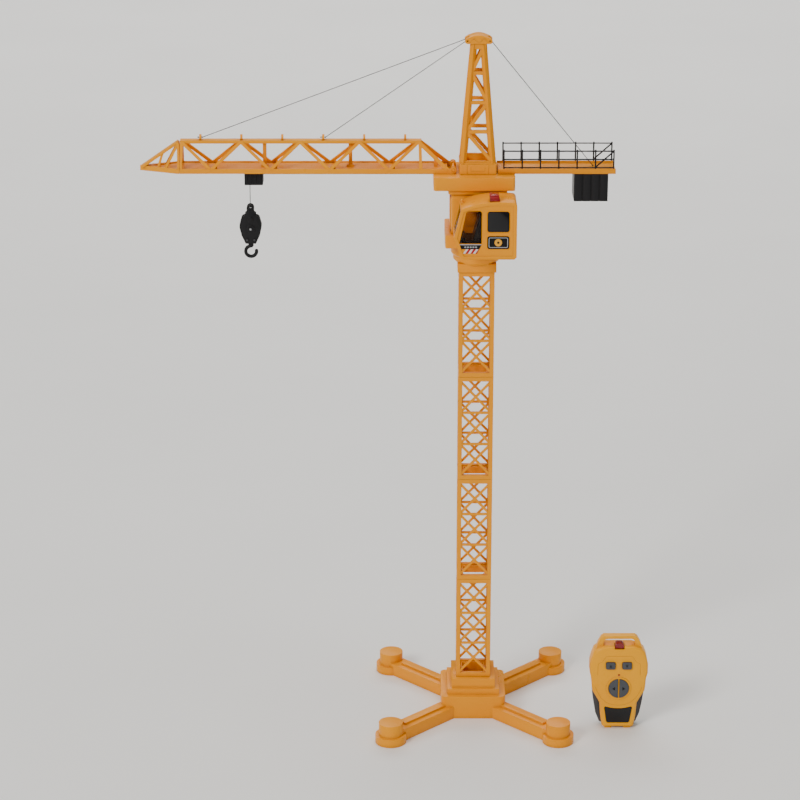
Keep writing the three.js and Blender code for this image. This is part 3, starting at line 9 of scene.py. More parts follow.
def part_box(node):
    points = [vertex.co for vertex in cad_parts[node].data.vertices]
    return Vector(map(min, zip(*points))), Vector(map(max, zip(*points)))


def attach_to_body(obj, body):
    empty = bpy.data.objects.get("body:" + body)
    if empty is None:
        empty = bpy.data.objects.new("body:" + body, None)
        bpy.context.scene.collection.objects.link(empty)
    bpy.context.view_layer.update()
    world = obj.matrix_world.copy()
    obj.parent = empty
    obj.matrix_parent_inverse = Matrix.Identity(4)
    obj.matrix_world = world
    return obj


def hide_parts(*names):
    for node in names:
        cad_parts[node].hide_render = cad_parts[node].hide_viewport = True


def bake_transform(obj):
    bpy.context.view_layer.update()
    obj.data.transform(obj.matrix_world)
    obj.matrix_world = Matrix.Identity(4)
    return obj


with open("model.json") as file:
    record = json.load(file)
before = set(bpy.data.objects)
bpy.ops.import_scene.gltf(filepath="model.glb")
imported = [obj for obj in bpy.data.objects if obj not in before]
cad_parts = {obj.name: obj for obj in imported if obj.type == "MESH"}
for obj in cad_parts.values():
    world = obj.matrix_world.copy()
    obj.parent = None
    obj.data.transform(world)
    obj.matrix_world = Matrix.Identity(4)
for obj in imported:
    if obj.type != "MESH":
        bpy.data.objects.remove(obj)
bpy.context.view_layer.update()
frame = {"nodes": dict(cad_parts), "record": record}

NODES = frame["nodes"]
MM_PER_M = 1000
scene = bpy.context.scene

# ---------- camera ----------
AIM = Vector((-0.105, 0.0, 0.47))
CAMERA_DISTANCE = 4.0
LENS_MM = 129
SENSOR_MM = 36
ELEVATION = math.radians(20)


def make_camera():
    data = bpy.data.cameras.new("camera")
    data.lens = LENS_MM
    data.sensor_width = SENSOR_MM
    cam = bpy.data.objects.new("camera", data)
    scene.collection.objects.link(cam)
    back = Vector((0, -math.cos(ELEVATION), math.sin(ELEVATION)))
    cam.location = AIM + back * CAMERA_DISTANCE
    cam.rotation_mode = "QUATERNION"
    cam.rotation_quaternion = (-back).to_track_quat("-Z", "Y")
    scene.camera = cam


make_camera()

# ---------- mesh helpers ----------
WELD_DISTANCE = 1e-5
FLAT_ANGLE = math.radians(0.6)
SHARP_ANGLE = math.radians(32)
DISC_SIDES = 20


def link(obj):
    scene.collection.objects.link(obj)
    return obj


def mesh_object(name, bm, material):
    mesh = bpy.data.meshes.new(name)
    bm.normal_update()
    bm.to_mesh(mesh)
    bm.free()
    mesh.materials.append(material)
    return link(bpy.data.objects.new(name, mesh))


def smooth(obj):
    for poly in obj.data.polygons:
        poly.use_smooth = True
    return obj


def circle(radius, sides):
    """Points of a circle about the origin."""
    turns = [2 * math.pi * k / sides for k in range(sides)]
    return [(radius * math.cos(a), radius * math.sin(a)) for a in turns]


def band(bm, lower, upper):
    """Joins two rings with as many vertices as each other."""
    sides = len(lower)
    for k in range(sides):
        n = (k + 1) % sides
        bm.faces.new((lower[k], lower[n], upper[n], upper[k]))


def close_ends(bm, rings):
    bm.faces.new(list(reversed(rings[0])))
    bm.faces.new(rings[-1])


def tube_between(name, points, radius, material, sides=12):
    """A tube through points, with a ring of vertices at each."""
    bm = bmesh.new()
    rings = []
    for i, p in enumerate(points):
        before = points[max(i - 1, 0)]
        after = points[min(i + 1, len(points) - 1)]
        turn = (Vector(after) - Vector(before)).normalized().to_track_quat("Z", "Y")
        rings.append([bm.verts.new(Vector(p) + turn @ Vector((x, y, 0))) for x, y in circle(radius, sides)])
    for lower, upper in zip(rings, rings[1:]):
        band(bm, lower, upper)
    close_ends(bm, rings)
    return smooth(mesh_object(name, bm, material))


def bead(name, points, radius, material, closed=True, sides=8):
    """A fine round bead along a flat path of world points lying across Y."""
    bm = bmesh.new()
    outward = Vector((0, -1, 0))
    count = len(points)
    rings = []
    for i, p in enumerate(points):
        before = points[(i - 1) % count] if closed or i else p
        after = points[(i + 1) % count] if closed or i < count - 1 else p
        across = outward.cross((after - before).normalized())
        rings.append([bm.verts.new(p + x * across + y * outward) for x, y in circle(radius, sides)])
    for lower, upper in zip(rings, rings[1:] + rings[:1] if closed else rings[1:]):
        band(bm, lower, upper)
    if not closed:
        close_ends(bm, rings)
    bmesh.ops.recalc_face_normals(bm, faces=bm.faces)
    return smooth(mesh_object(name, bm, material))


def outline_prism(name, points, plane, depth, material):
    """A flat outline of (a, b) points made thick. plane(a, b, t) gives the world point at thickness t."""
    bm = bmesh.new()
    front = [bm.verts.new(plane(a, b, 0.0)) for a, b in points]
    back = [bm.verts.new(plane(a, b, depth)) for a, b in points]
    bm.faces.new(front)
    bm.faces.new(list(reversed(back)))
    n = len(points)
    for i in range(n):
        j = (i + 1) % n
        bm.faces.new((front[j], front[i], back[i], back[j]))
    bmesh.ops.recalc_face_normals(bm, faces=bm.faces)
    return mesh_object(name, bm, material)


def rounded(x0, x1, y0, y1, r, steps=5):
    """Outline of a rectangle with rounded corners, from its lower right one."""
    points = []
    right, left, low, high = x1 - r, x0 + r, y0 + r, y1 - r
    for cx, cy, start in ((right, low, -90), (right, high, 0), (left, high, 90), (left, low, 180)):
        for i in range(steps + 1):
            a = math.radians(start + 90 * i / steps)
            points.append((cx + r * math.cos(a), cy + r * math.sin(a)))
    return points


def ring_strip(name, outer, inner, plane, depth, material):
    """A flat band between two outlines with the same number of points."""
    bm = bmesh.new()
    levels = []
    for t in (0.0, depth):
        levels.append([[bm.verts.new(plane(a, b, t)) for a, b in outline] for outline in (outer, inner)])
    (out_a, in_a), (out_b, in_b) = levels
    n = len(outer)
    for i in range(n):
        j = (i + 1) % n
        bm.faces.new((out_a[i], out_a[j], in_a[j], in_a[i]))
        bm.faces.new((out_b[j], out_b[i], in_b[i], in_b[j]))
        bm.faces.new((out_a[j], out_a[i], out_b[i], out_b[j]))
        bm.faces.new((in_a[i], in_a[j], in_b[j], in_b[i]))
    bmesh.ops.recalc_face_normals(bm, faces=bm.faces)
    return mesh_object(name, bm, material)


def merge_flat(obj):
    """Welds the corners and joins flat triangles into whole faces."""
    smooth(obj)
    weld = obj.modifiers.new("weld", "WELD")
    weld.merge_threshold = WELD_DISTANCE
    flat = obj.modifiers.new("flat", "DECIMATE")
    flat.decimate_type = "DISSOLVE"
    flat.angle_limit = FLAT_ANGLE


def soften(obj, width, segments=2):
    """Rounds the sharp edges and smooths what is nearly flat."""
    merge_flat(obj)
    bevel = obj.modifiers.new("bevel", "BEVEL")
    bevel.width = width
    bevel.segments = segments
    bevel.limit_method = "ANGLE"
    bevel.angle_limit = SHARP_ANGLE
    bevel.use_clamp_overlap = True
    bevel.harden_normals = True


def shade_by_angle(obj):
    """Keeps the edges of crossing bars crisp and smooths only what is nearly flat."""
    merge_flat(obj)
    split = obj.modifiers.new("split", "EDGE_SPLIT")
    split.split_angle = SHARP_ANGLE
    split.use_edge_sharp = False


def disc(name, centre, normal, radius, thick, material, bevel):
    """A round plate about its centre, with its rim rounded."""
    bm = bmesh.new()
    turn = Vector(normal).to_track_quat("Z", "Y").to_matrix().to_4x4()
    place = Matrix.Translation(Vector(centre)) @ turn
    bmesh.ops.create_cone(
        bm, cap_ends=True, segments=DISC_SIDES, radius1=radius, radius2=radius, depth=thick, matrix=place
    )
    obj = mesh_object(name, bm, material)
    soften(obj, bevel)
    return obj


def attach(piece, body):
    """Sets the body that a piece rides on."""
    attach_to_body(piece, body)


# ---------- materials ----------
# How far the occlusion looks for the painted shade in corners.
SHADE_REACH = 0.006
EDGE_ROUND_RADIUS = 0.0007
RAY_SAMPLES = 4


def linear(hex_colour):
    """A colour written as six hexadecimal digits, in linear light."""
    out = []
    for i in (0, 2, 4):
        c = int(hex_colour[i : i + 2], 16) / 255
        out.append(c / 12.92 if c <= 0.04045 else ((c + 0.055) / 1.055) ** 2.4)
    return (*out, 1.0)


def scaled(colour, factor):
    return tuple(c * factor for c in colour[:3]) + (1.0,)


class Shader:
    """Small helper that wires nodes into one Principled material."""

    def __init__(self, name):
        self.material = bpy.data.materials.new(name)
        self.material.use_nodes = True
        self.tree = self.material.node_tree
        self.bsdf = self.tree.nodes["Principled BSDF"]
        self.coords = self.add("ShaderNodeTexCoord").outputs["Object"]

    def add(self, kind, **inputs):
        node = self.tree.nodes.new(kind)
        for key, value in inputs.items():
            self.put(node.inputs[key.replace("_", " ")], value)
        return node

    def put(self, socket, value):
        if isinstance(value, bpy.types.NodeSocket):
            self.tree.links.new(value, socket)
        else:
            socket.default_value = value

    def noise(self, scale, detail=3.0, rough=0.5, stretch=None):
        vector = self.coords
        if stretch:
            mapping = self.add("ShaderNodeMapping", Vector=self.coords)
            mapping.inputs["Scale"].default_value = stretch
            vector = mapping.outputs["Vector"]
        node = self.add("ShaderNodeTexNoise", Vector=vector, Scale=scale, Detail=detail, Roughness=rough)
        return node.outputs["Fac"]

    def span(self, value, low, high, to_low, to_high):
        node = self.add("ShaderNodeMapRange", Value=value)
        node.inputs["From Min"].default_value = low
        node.inputs["From Max"].default_value = high
        node.inputs["To Min"].default_value = to_low
        node.inputs["To Max"].default_value = to_high
        return node.outputs["Result"]

    def math(self, operation, a, b):
        node = self.tree.nodes.new("ShaderNodeMath")
        node.operation = operation
        self.put(node.inputs[0], a)
        self.put(node.inputs[1], b)
        return node.outputs[0]

    def dot(self, a, b):
        node = self.tree.nodes.new("ShaderNodeVectorMath")
        node.operation = "DOT_PRODUCT"
        self.put(node.inputs[0], a)
        self.put(node.inputs[1], b)
        return node.outputs["Value"]

    def mix(self, factor, a, b):
        node = self.tree.nodes.new("ShaderNodeMix")
        node.data_type = "RGBA"
        self.put(node.inputs["Factor"], factor)
        self.put(node.inputs["A"], a)
        self.put(node.inputs["B"], b)
        return node.outputs["Result"]

    def bump(self, height, distance, strength=1.0, normal=None):
        node = self.add("ShaderNodeBump", Height=height, Distance=distance, Strength=strength)
        if normal is not None:
            self.tree.links.new(normal, node.inputs["Normal"])
        return node.outputs["Normal"]

    def set(self, **values):
        for key, value in values.items():
            self.put(self.bsdf.inputs[key.replace("_", " ")], value)
        return self


def moulded(name, colour, shade, rough, grain, corner_shade_depth=0.55, tread=False):
    """Injection-moulded plastic: slow tone drift, fine grain, smudges, painted shade in the corners and
    rubbed edges with a painted highlight.
    """
    s = Shader(name)
    drift = s.span(s.noise(9.0, 4.0), 0.3, 0.7, 0.0, 1.0)
    base = s.mix(drift, colour, shade)
    speck = s.span(s.noise(420.0, 2.0), 0.62, 0.78, 0.0, 0.14)
    base = s.mix(speck, base, scaled(shade, 0.55))
    # Painted shade: darker where the occlusion finds surfaces meeting, made patchy by noise.
    base = s.mix(corner_shade(s, corner_shade_depth), base, scaled(shade, 0.32))
    edge = s.add("ShaderNodeBevel", Radius=EDGE_ROUND_RADIUS)
    edge.samples = RAY_SAMPLES
    # Lighter edges: partly wear, partly a painted highlight along every edge.
    worn_and_highlit = tuple(min(1.0, c * 1.3 + 0.01) for c in colour[:3]) + (1.0,)
    base = s.mix(rubbed_and_highlit_edge(s, edge.outputs["Normal"]), base, worn_and_highlit)
    smudge = s.span(s.noise(32.0, 6.0, 0.65), 0.35, 0.7, rough - 0.07, rough + 0.1)
    hair = s.span(s.noise(900.0, 1.0, 0.5, (1.0, 0.04, 1.0)), 0.66, 0.72, 0.0, 0.12)
    s.set(Base_Color=base, Roughness=s.math("ADD", smudge, hair), IOR=1.5, Specular_IOR_Level=0.2)
    fine = s.bump(s.noise(1500.0, 2.0), 0.00005 * grain, 0.6, edge.outputs["Normal"])
    normal = s.bump(s.noise(28.0, 2.0), 0.0004, 0.25, fine)
    if tread:
        normal = tread_bump(s, normal)
    s.set(Normal=normal)
    return s.material


def corner_shade(s, most):
    """Patchy painted shade where surfaces meet, from none to the most given."""
    occlusion = s.add("ShaderNodeAmbientOcclusion", Distance=SHADE_REACH)
    occlusion.samples = RAY_SAMPLES
    corner = s.span(occlusion.outputs["AO"], 0.35, 0.95, most, 0.0)
    return s.math("MULTIPLY", corner, s.span(s.noise(60.0, 5.0), 0.25, 0.7, 0.5, 1.0))


def rubbed_and_highlit_edge(s, rounded_normal):
    """Patchy wear and painted highlight where the rounded normal leaves the true one, as it does along
    edges.
    """
    geometry = s.add("ShaderNodeNewGeometry")
    agreement = s.dot(rounded_normal, geometry.outputs["Normal"])
    rubbed = s.span(agreement, 0.97, 0.86, 0.0, 0.35)
    return s.math("MULTIPLY", rubbed, s.span(s.noise(150.0, 3.0), 0.4, 0.65, 0.0, 1.0))


def tread_bump(s, normal):
    """Small raised lozenges, as on a chequered deck."""
    turned = s.add("ShaderNodeMapping", Vector=s.coords)
    turned.inputs["Rotation"].default_value = (0, 0, math.radians(45))
    checker = s.add("ShaderNodeTexChecker", Vector=turned.outputs["Vector"], Scale=430.0)
    checker.inputs["Color1"].default_value = (1, 1, 1, 1)
    checker.inputs["Color2"].default_value = (0, 0, 0, 1)
    return s.bump(checker.outputs["Color"], 0.0004, 0.7, normal)


YELLOW = moulded("yellow_plastic", (0.88, 0.345, 0.0, 1.0), (0.85, 0.3, 0.0, 1.0), 0.34, 1.0, 0.5)
YELLOW_DECK = moulded(
    "yellow_deck_plastic", (0.84, 0.3, 0.0, 1.0), (0.8, 0.26, 0.0, 1.0), 0.4, 1.0, 0.55, tread=True
)
REMOTE_YELLOW = moulded(
    "remote_yellow_plastic", (0.92, 0.42, 0.0, 1.0), (0.9, 0.37, 0.0, 1.0), 0.34, 1.2, 0.45
)
# A darker yellow for the engraved lines: painted shade standing for the inside of each groove.
GROOVE_SHADE_YELLOW = moulded("yellow_groove_shade", (0.62, 0.22, 0.0, 1.0), (0.55, 0.18, 0.0, 1.0), 0.45, 1.0, 0.3)
ORANGE = moulded("orange_plastic", (0.8, 0.22, 0.0, 1.0), (0.66, 0.16, 0.0, 1.0), 0.42, 1.0)
BLACK = moulded("black_plastic", linear("1F1F21"), linear("161618"), 0.38, 1.4, 0.4)
GREY = moulded("grey_plastic", linear("55585D"), linear("484B50"), 0.42, 1.3, 0.5)
NYLON = moulded("white_nylon", linear("E4E0D6"), linear("D2CDC0"), 0.4, 1.0)
CAP_GREY = moulded("label_light_grey", linear("B9BCC2"), linear("A6A9AF"), 0.4, 0.5, 0.2)
SIGN_YELLOW = moulded("sign_yellow", linear("F6B53A"), linear("EDA428"), 0.38, 0.5, 0.2)
SIGN_RED = moulded("sign_red", linear("C62026"), linear("AC181E"), 0.38, 0.5, 0.2)
SIGN_WHITE = moulded("sign_white", linear("F0E4DC"), linear("E2D4CB"), 0.4, 0.5, 0.2)
# Black for print, and also the painted shade of the screw recesses.
BLACK_PRINT_AND_SHADE = moulded("black_print_and_shade", linear("141416"), linear("0F0F12"), 0.3, 0.5, 0.2)


def metal(name, colour, rough):
    """Brushed metal with a slow drift in tone."""
    s = Shader(name)
    drift = s.span(s.noise(60.0, 4.0), 0.3, 0.7, 0.0, 1.0)
    brushed = s.noise(700.0, 3.0, 0.5, (1.0, 1.0, 0.06))
    s.set(Base_Color=s.mix(drift, colour, scaled(colour, 0.8)))
    s.set(Metallic=1.0, Roughness=s.span(brushed, 0.3, 0.7, rough - 0.06, rough + 0.12))
    s.set(Normal=s.bump(brushed, 0.00004, 0.5))
    return s.material


STEEL = metal("steel", linear("B4B7BB"), 0.28)
DARK_STEEL = metal("dark_steel", linear("6A6D72"), 0.36)


def glazing(name, colour, alpha):
    """Smooth plastic sheet with faint smears."""
    s = Shader(name)
    smear = s.noise(45.0, 5.0)
    s.set(Base_Color=s.mix(s.span(smear, 0.3, 0.7, 0.0, 1.0), colour, scaled(colour, 1.6)))
    s.set(Roughness=s.span(smear, 0.3, 0.75, 0.06, 0.2), IOR=1.5, Specular_IOR_Level=0.32)
    s.set(Coat_Weight=0.1, Coat_Roughness=0.05)
    s.set(Normal=s.bump(s.noise(35.0, 1.0), 0.0002, 0.2))
    s.set(Alpha=alpha)
    return s.material


SMOKED = glazing("smoked_sheet", linear("09090C"), 1.0)
CLEAR_DARK = glazing("tinted_window", linear("2A1C12"), 0.12)


def red_lens():
    s = Shader("red_lens")
    depth = s.noise(70.0, 3.0)
    s.set(Base_Color=s.mix(s.span(depth, 0.3, 0.7, 0.0, 1.0), linear("C4131F"), linear("8F0B16")))
    s.set(Roughness=s.span(s.noise(90.0, 4.0), 0.3, 0.7, 0.14, 0.26), IOR=1.49)
    s.set(Transmission_Weight=0.45, Coat_Weight=0.4, Coat_Roughness=0.08)
    s.set(Normal=s.bump(s.noise(260.0, 1.0), 0.0001, 0.4))
    return s.material


RED_LENS = red_lens()


def twisted_string():
    s = Shader("string")
    wave = s.add("ShaderNodeTexWave", Vector=s.coords, Scale=520.0, Distortion=1.5)
    wave.bands_direction = "DIAGONAL"
    twist = wave.outputs["Fac"]
    fuzz = s.noise(1800.0, 3.0)
    s.set(Base_Color=s.mix(twist, linear("17171A"), linear("3A3A40")))
    s.set(Roughness=s.span(fuzz, 0.3, 0.7, 0.6, 0.9))
    s.set(Normal=s.bump(twist, 0.00015, 0.8), Sheen_Weight=0.2)
    return s.material


STRING = twisted_string()


def circuit_board():
    """Green board with a lighter grid of tracks."""
    s = Shader("circuit_board")
    brick = s.add("ShaderNodeTexBrick", Vector=s.coords, Scale=260.0)
    brick.inputs["Color1"].default_value = linear("1C6A3C")
    brick.inputs["Color2"].default_value = linear("17582F")
    brick.inputs["Mortar"].default_value = linear("2F8A55")
    s.set(Base_Color=brick.outputs["Color"], Roughness=s.span(s.noise(90.0), 0.3, 0.7, 0.3, 0.45))
    s.set(Normal=s.bump(brick.outputs["Fac"], 0.0001, 0.4))
    return s.material


BOARD = circuit_board()

# ---------- finish of the CAD nodes ----------
# Material of each of the record's slots.
FINISH = {
    "yellow_plastic": YELLOW,
    "orange_plastic": ORANGE,
    "black_plastic": BLACK,
    "grey_plastic": GREY,
    "dark_glazing": SMOKED,
    "red_lens": RED_LENS,
    "white_nylon": NYLON,
    "steel": STEEL,
    "circuit_board": BOARD,
    "string": STRING,
}
# Nodes with a variant of their slot's material.
SPECIAL = {
    "jib_deck": YELLOW_DECK,
    "counter_jib_deck": YELLOW_DECK,
    "remote_top_shell": REMOTE_YELLOW,
    "cab_side_window": CLEAR_DARK,
    "cab_windshield": CLEAR_DARK,
}
# Width of the rounded edges in metres, and the number of segments across them.
EDGE = {
    "cab_shell": (0.0011, 3),
    "head_cap": (0.0009, 3),
    "turret_platform": (0.0009, 3),
    "turret_flange": (0.0009, 3),
    "base_frame": (0.0016, 3),
    "remote_top_shell": (0.0016, 4),
    "remote_bottom_shell": (0.0016, 4),
    "counterweight": (0.001, 3),
    "trolley_body": (0.0004, 2),
    "hook_plate_front": (0.0005, 2),
    "hook_plate_rear": (0.0005, 2),
}
DEFAULT_EDGE = (0.00035, 2)
# Crossing bars, too close for rounded edges.
LATTICE = {
    "head_lattice", "jib_truss_front", "jib_truss_rear", "jib_top_chord", "jib_deck", "jib_nose",
    "mast_section_1", "mast_section_2", "mast_section_3", "mast_section_4", "railing_front", "railing_rear",
}
# Thin lines and gears, left as they come.
PLAIN = {"pendant_line_tip", "pendant_line_middle", "pendant_line_counter", "slew_gear", "slew_pinion"}


def finish_cad_nodes():
    slots = {row["node"]: row["material_slot"] for row in frame["record"]["subparts"]}
    for name, obj in NODES.items():
        material = SPECIAL.get(name) or FINISH[slots[name]]
        if obj.data.materials:
            for i in range(len(obj.data.materials)):
                obj.data.materials[i] = material
        else:
            obj.data.materials.append(material)
        if name in LATTICE:
            shade_by_angle(obj)
        elif name not in PLAIN:
            soften(obj, *EDGE.get(name, DEFAULT_EDGE))


finish_cad_nodes()

# ---------- hoist line ----------
LINE_R = 0.0005
BEND_R = 0.0055
BEND_SHIFT = 0.0003
BEND_STEPS = 12
FALL_OVERLAP = 0.0002  # up into the bend
FALL_FOOT_RISE = 0.0012  # above the lowest point of the CAD line
KNOT_RISE = 0.0016  # its middle above the foot of the line
KNOT_COIL_R = 0.0008
KNOT_STRAND_R = 0.0004
KNOT_HEIGHT = 0.0022
KNOT_STEPS = 24
KNOT_STEPS_A_TURN = 8


def hoist_lines():
    """The line along the jib, over the trolley's pulley and down to the hook block."""
    lo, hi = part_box("hoist_line_jib")
    z = (lo.z + hi.z) / 2
    start = Vector((hi.x, 0, z))
    end = Vector((lo.x, 0, z))
    run = tube_between("hoist_line_run", [start, end], LINE_R, STRING)
    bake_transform(run)
    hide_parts("hoist_line_jib")
    centre = Vector((end.x - BEND_SHIFT, 0, z - BEND_R))
    angles = [math.radians(90 + 90 * i / BEND_STEPS) for i in range(BEND_STEPS + 1)]
    bend = [centre + Vector((BEND_R * math.cos(a), 0, BEND_R * math.sin(a))) for a in angles]
    attach(tube_between("hoist_line_bend", bend, LINE_R, STRING), "trolley")
    top = bend[-1] + Vector((0, 0, FALL_OVERLAP))
    bottom = Vector((top.x, 0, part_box("hoist_line_drop")[0].z + FALL_FOOT_RISE))
    drop = tube_between("hoist_line_fall", [top, bottom], LINE_R, STRING)
    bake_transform(drop)
    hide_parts("hoist_line_drop")
    hoist_knot(bottom)


def hoist_knot(bottom):
    """Three turns of line around its lower end."""
    turns = []
    for i in range(KNOT_STEPS + 1):
        a = 2 * math.pi * i / KNOT_STEPS_A_TURN
        z = KNOT_RISE + KNOT_HEIGHT * (i / KNOT_STEPS - 0.5)
        turns.append(bottom + Vector((KNOT_COIL_R * math.cos(a), KNOT_COIL_R * math.sin(a), z)))
    attach(tube_between("hoist_line_knot", turns, KNOT_STRAND_R, STRING, 8), "hook_block")


hoist_lines()

# ---------- cab labels ----------
# Outlines are in millimetres from the lower front corner of the cab's labelled side.
CAB_LO, CAB_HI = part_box("cab_shell")
CAB_FACE = CAB_LO.y + 0.0008
LABEL_T = 0.00025
LAYER_STEP = LABEL_T * 0.4
RIM_R = 0.00042
SIDE_WINDOW = [(6.8, 21.4), (37.2, 21.4), (37.2, 65.2), (35.2, 67.2), (19.2, 67.2), (15.9, 65.3)]


def on_cab(a, b, t):
    """Point on the labelled side of the cab."""
    return Vector((CAB_LO.x + a / MM_PER_M, CAB_FACE - LABEL_T + t, CAB_LO.z + b / MM_PER_M))


def raised(layer):
    """The same plane, lifted outwards by one step for each layer."""
    return lambda a, b, t: on_cab(a, b, t) - Vector((0, LAYER_STEP * layer, 0))


def cab_rims():
    """The raised bead that frames each window and the label on the side of the cab."""
    frames = {
        "side_window_rim": SIDE_WINDOW,
        "rear_window_rim": rounded(44.2, 74.3, 37.4, 66.8, 3.8),
        "side_label_rim": rounded(44.2, 74.3, 14.2, 32.8, 3.3),
    }
    for name, outline in frames.items():
        path = [on_cab(a, b, LABEL_T) for a, b in outline]
        attach(bead(name, path, RIM_R, YELLOW), "turret")


cab_rims()


def label(name, outline, plane, material):
    """A thin plate on the side of the cab."""
    attach(outline_prism(name, outline, plane, LABEL_T, material), "turret")


def side_label():
    """A black plate with a grey border and a plain round mark."""
    label("side_label", rounded(44.6, 73.9, 14.6, 32.4, 3.0), on_cab, BLACK_PRINT_AND_SHADE)
    outer = rounded(46.4, 72.1, 16.4, 30.6, 2.0)
    inner = rounded(47.3, 71.2, 17.3, 29.7, 1.3)
    border = ring_strip("side_label_border", outer, inner, raised(1), LABEL_T, CAP_GREY)
    attach(border, "turret")
    spot = rounded(54.1, 64.3, 18.4, 28.6, 5.09, 8)
    label("side_label_spot", spot, raised(1), SIGN_YELLOW)
    centre = rounded(57.6, 60.8, 21.9, 25.1, 1.59, 6)
    label("side_label_spot_centre", centre, raised(2), BLACK_PRINT_AND_SHADE)


def sill_label():
    """A black band of blank bars under the side window."""
    line = [(7.4, 20.0), (36.6, 20.0), (36.8, 21.4), (7.2, 21.4)]
    label("window_sill_line", line, raised(1), CAP_GREY)
    plate = [(10.2, 14.4), (33.9, 14.4), (36.6, 19.8), (7.6, 19.8)]
    label("sill_label", plate, on_cab, BLACK_PRINT_AND_SHADE)
    for i in range(5):
        x = 14.0 + i * 3.6
        bar = [(x, 16.2), (x + 2.5, 16.2), (x + 2.5, 18.1), (x, 18.1)]
        label(f"sill_label_bar_{i + 1}", bar, raised(1), CAP_GREY)


STRIPE_LOW, STRIPE_HIGH = 8.2, 14.4
STRIPE_START = 8.6
STRIPE_PITCH = 3.35
STRIPE_LEAN = 4.2
STRIPE_NARROWEST = 0.3
PANEL_FOOT = (12.2, 30.8)  # ends of the striped panel along its lower edge
PANEL_SLOPES = (-0.32, 0.5)  # how far each end moves along for each millimetre up


def stripes():
    """Slanted red and white warning stripes under the sill label."""
    for i in range(7):
        shape = clip_stripe(STRIPE_START + i * STRIPE_PITCH)
        if shape is None:
            continue
        if i % 2 == 0:
            label(f"stripe_{i + 1}", shape, on_cab, SIGN_RED)
        else:
            label(f"stripe_{i + 1}", shape, on_cab, SIGN_WHITE)


def clip_stripe(x):
    """The stripe whose foot starts at x, kept inside the two sloping ends of the panel."""
    height = STRIPE_HIGH - STRIPE_LOW
    left, right = PANEL_FOOT
    top_left, top_right = (foot + height * slope for foot, slope in zip(PANEL_FOOT, PANEL_SLOPES))
    a, b = max(x, left), min(x + STRIPE_PITCH, right)
    c, d = min(x + STRIPE_PITCH + STRIPE_LEAN, top_right), max(x + STRIPE_LEAN, top_left)
    if b - a < STRIPE_NARROWEST or c - d < STRIPE_NARROWEST:
        return None
    return [(a, STRIPE_LOW), (b, STRIPE_LOW), (c, STRIPE_HIGH), (d, STRIPE_HIGH)]


side_label()
sill_label()
stripes()


def cab_chin_line():
    """The engraved line across the sloping panel under the windshield, drawn as a thin bead in a darker
    yellow that paints the groove's shade.
    """
    chin_top = Vector((CAB_LO.x, 0, CAB_LO.z + 0.0296))
    chin_foot = Vector((CAB_LO.x + 0.009, 0, CAB_LO.z + 0.0025))
    on_panel = chin_top.lerp(chin_foot, 0.42)
    ends = [on_panel + Vector((0.00012, y, 0)) for y in (CAB_LO.y + 0.006, CAB_HI.y - 0.006)]
    line = tube_between("cab_chin_line", ends, 0.00026, GROOVE_SHADE_YELLOW, 8)
    attach(line, "turret")


cab_chin_line()

# ---------- small fittings ----------
SCREW_R = 0.0019
SMALL_SCREW_R = 0.0012
SCREW_HEAD_T = 0.0009
SCREW_HEAD_EDGE = 0.0003
RECESS_T = 0.0002
RECESS_LIFT = 0.00036  # from the middle of the head
SHELL_SCREW_DEPTH = 0.0013
SHELL_SCREW_Y = 0.0285
SHELL_SCREW_RISE = 0.004


def screw(name, centre, normal, body, radius):
    """A round-headed cross-recess screw, standing a little proud of the surface it holds; its recess is a
    black cross of painted shade.
    """
    n = Vector(normal)
    attach(disc(name, centre, n, radius, SCREW_HEAD_T, DARK_STEEL, SCREW_HEAD_EDGE), body)
    turn = n.to_track_quat("Z", "Y")
    arm, half = radius * 0.6, radius * 0.12
    quarter = [(half, half), (half, arm), (-half, arm)]
    cross = []
    for k in range(4):
        a = math.radians(45 + 90 * k)
        cross += [(x * math.cos(a) - y * math.sin(a), x * math.sin(a) + y * math.cos(a)) for x, y in quarter]

    def on_head(a, b, t):
        return Vector(centre) + n * (RECESS_LIFT + t) + turn @ Vector((a, b, 0))

    # The recess is a thin black cross on the head: painted shade for the hole.
    recess = outline_prism(f"{name}_recess", cross, on_head, RECESS_T, BLACK_PRINT_AND_SHADE)
    attach(recess, body)


def shell_screws(half, side):
    """Four screws near the corners of one half of the turret, side -1 in front and 1 at the rear."""
    lo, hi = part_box(f"turret_shell_{half}")
    x = (lo.x if side < 0 else hi.x) - side * SHELL_SCREW_DEPTH
    levels = (lo.z + SHELL_SCREW_RISE, hi.z - SHELL_SCREW_RISE)
    corners = [(y, z) for z in levels for y in (-SHELL_SCREW_Y, SHELL_SCREW_Y)]
    for i, (y, z) in enumerate(corners):
        screw(f"{half}_shell_screw_{i + 1}", (x, y, z), (side, 0, 0), "turret", SCREW_R)


shell_screws("front", -1)
shell_screws("rear", 1)


def hook_block_screws():
    """Two small screws low on each cheek of the hook block."""
    lo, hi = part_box("hook_plate_front")
    mid_x = (lo.x + hi.x) / 2
    z = lo.z + 0.0055
    rear_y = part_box("hook_plate_rear")[1].y
    for cheek, side, y in (("front", -1, lo.y + 0.0002), ("rear", 1, rear_y - 0.0002)):
        for i, dx in enumerate((-0.005, 0.005)):
            name = f"hook_{cheek}_screw_{i + 1}"
            screw(name, (mid_x + dx, y, z), (0, side, 0), "hook_block", SMALL_SCREW_R)


hook_block_screws()

# ---------- remote ----------
TURN_KEY_LO, TURN_KEY_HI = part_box("remote_button_left")
REMOTE_X = (TURN_KEY_HI.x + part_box("remote_button_right")[0].x) / 2
TURN_KEY_Z = (TURN_KEY_LO.z + TURN_KEY_HI.z) / 2
MARK_T = 0.0002
REMOTE_LINE_DEPTH = 0.00108
REMOTE_LINE_R = 0.00022


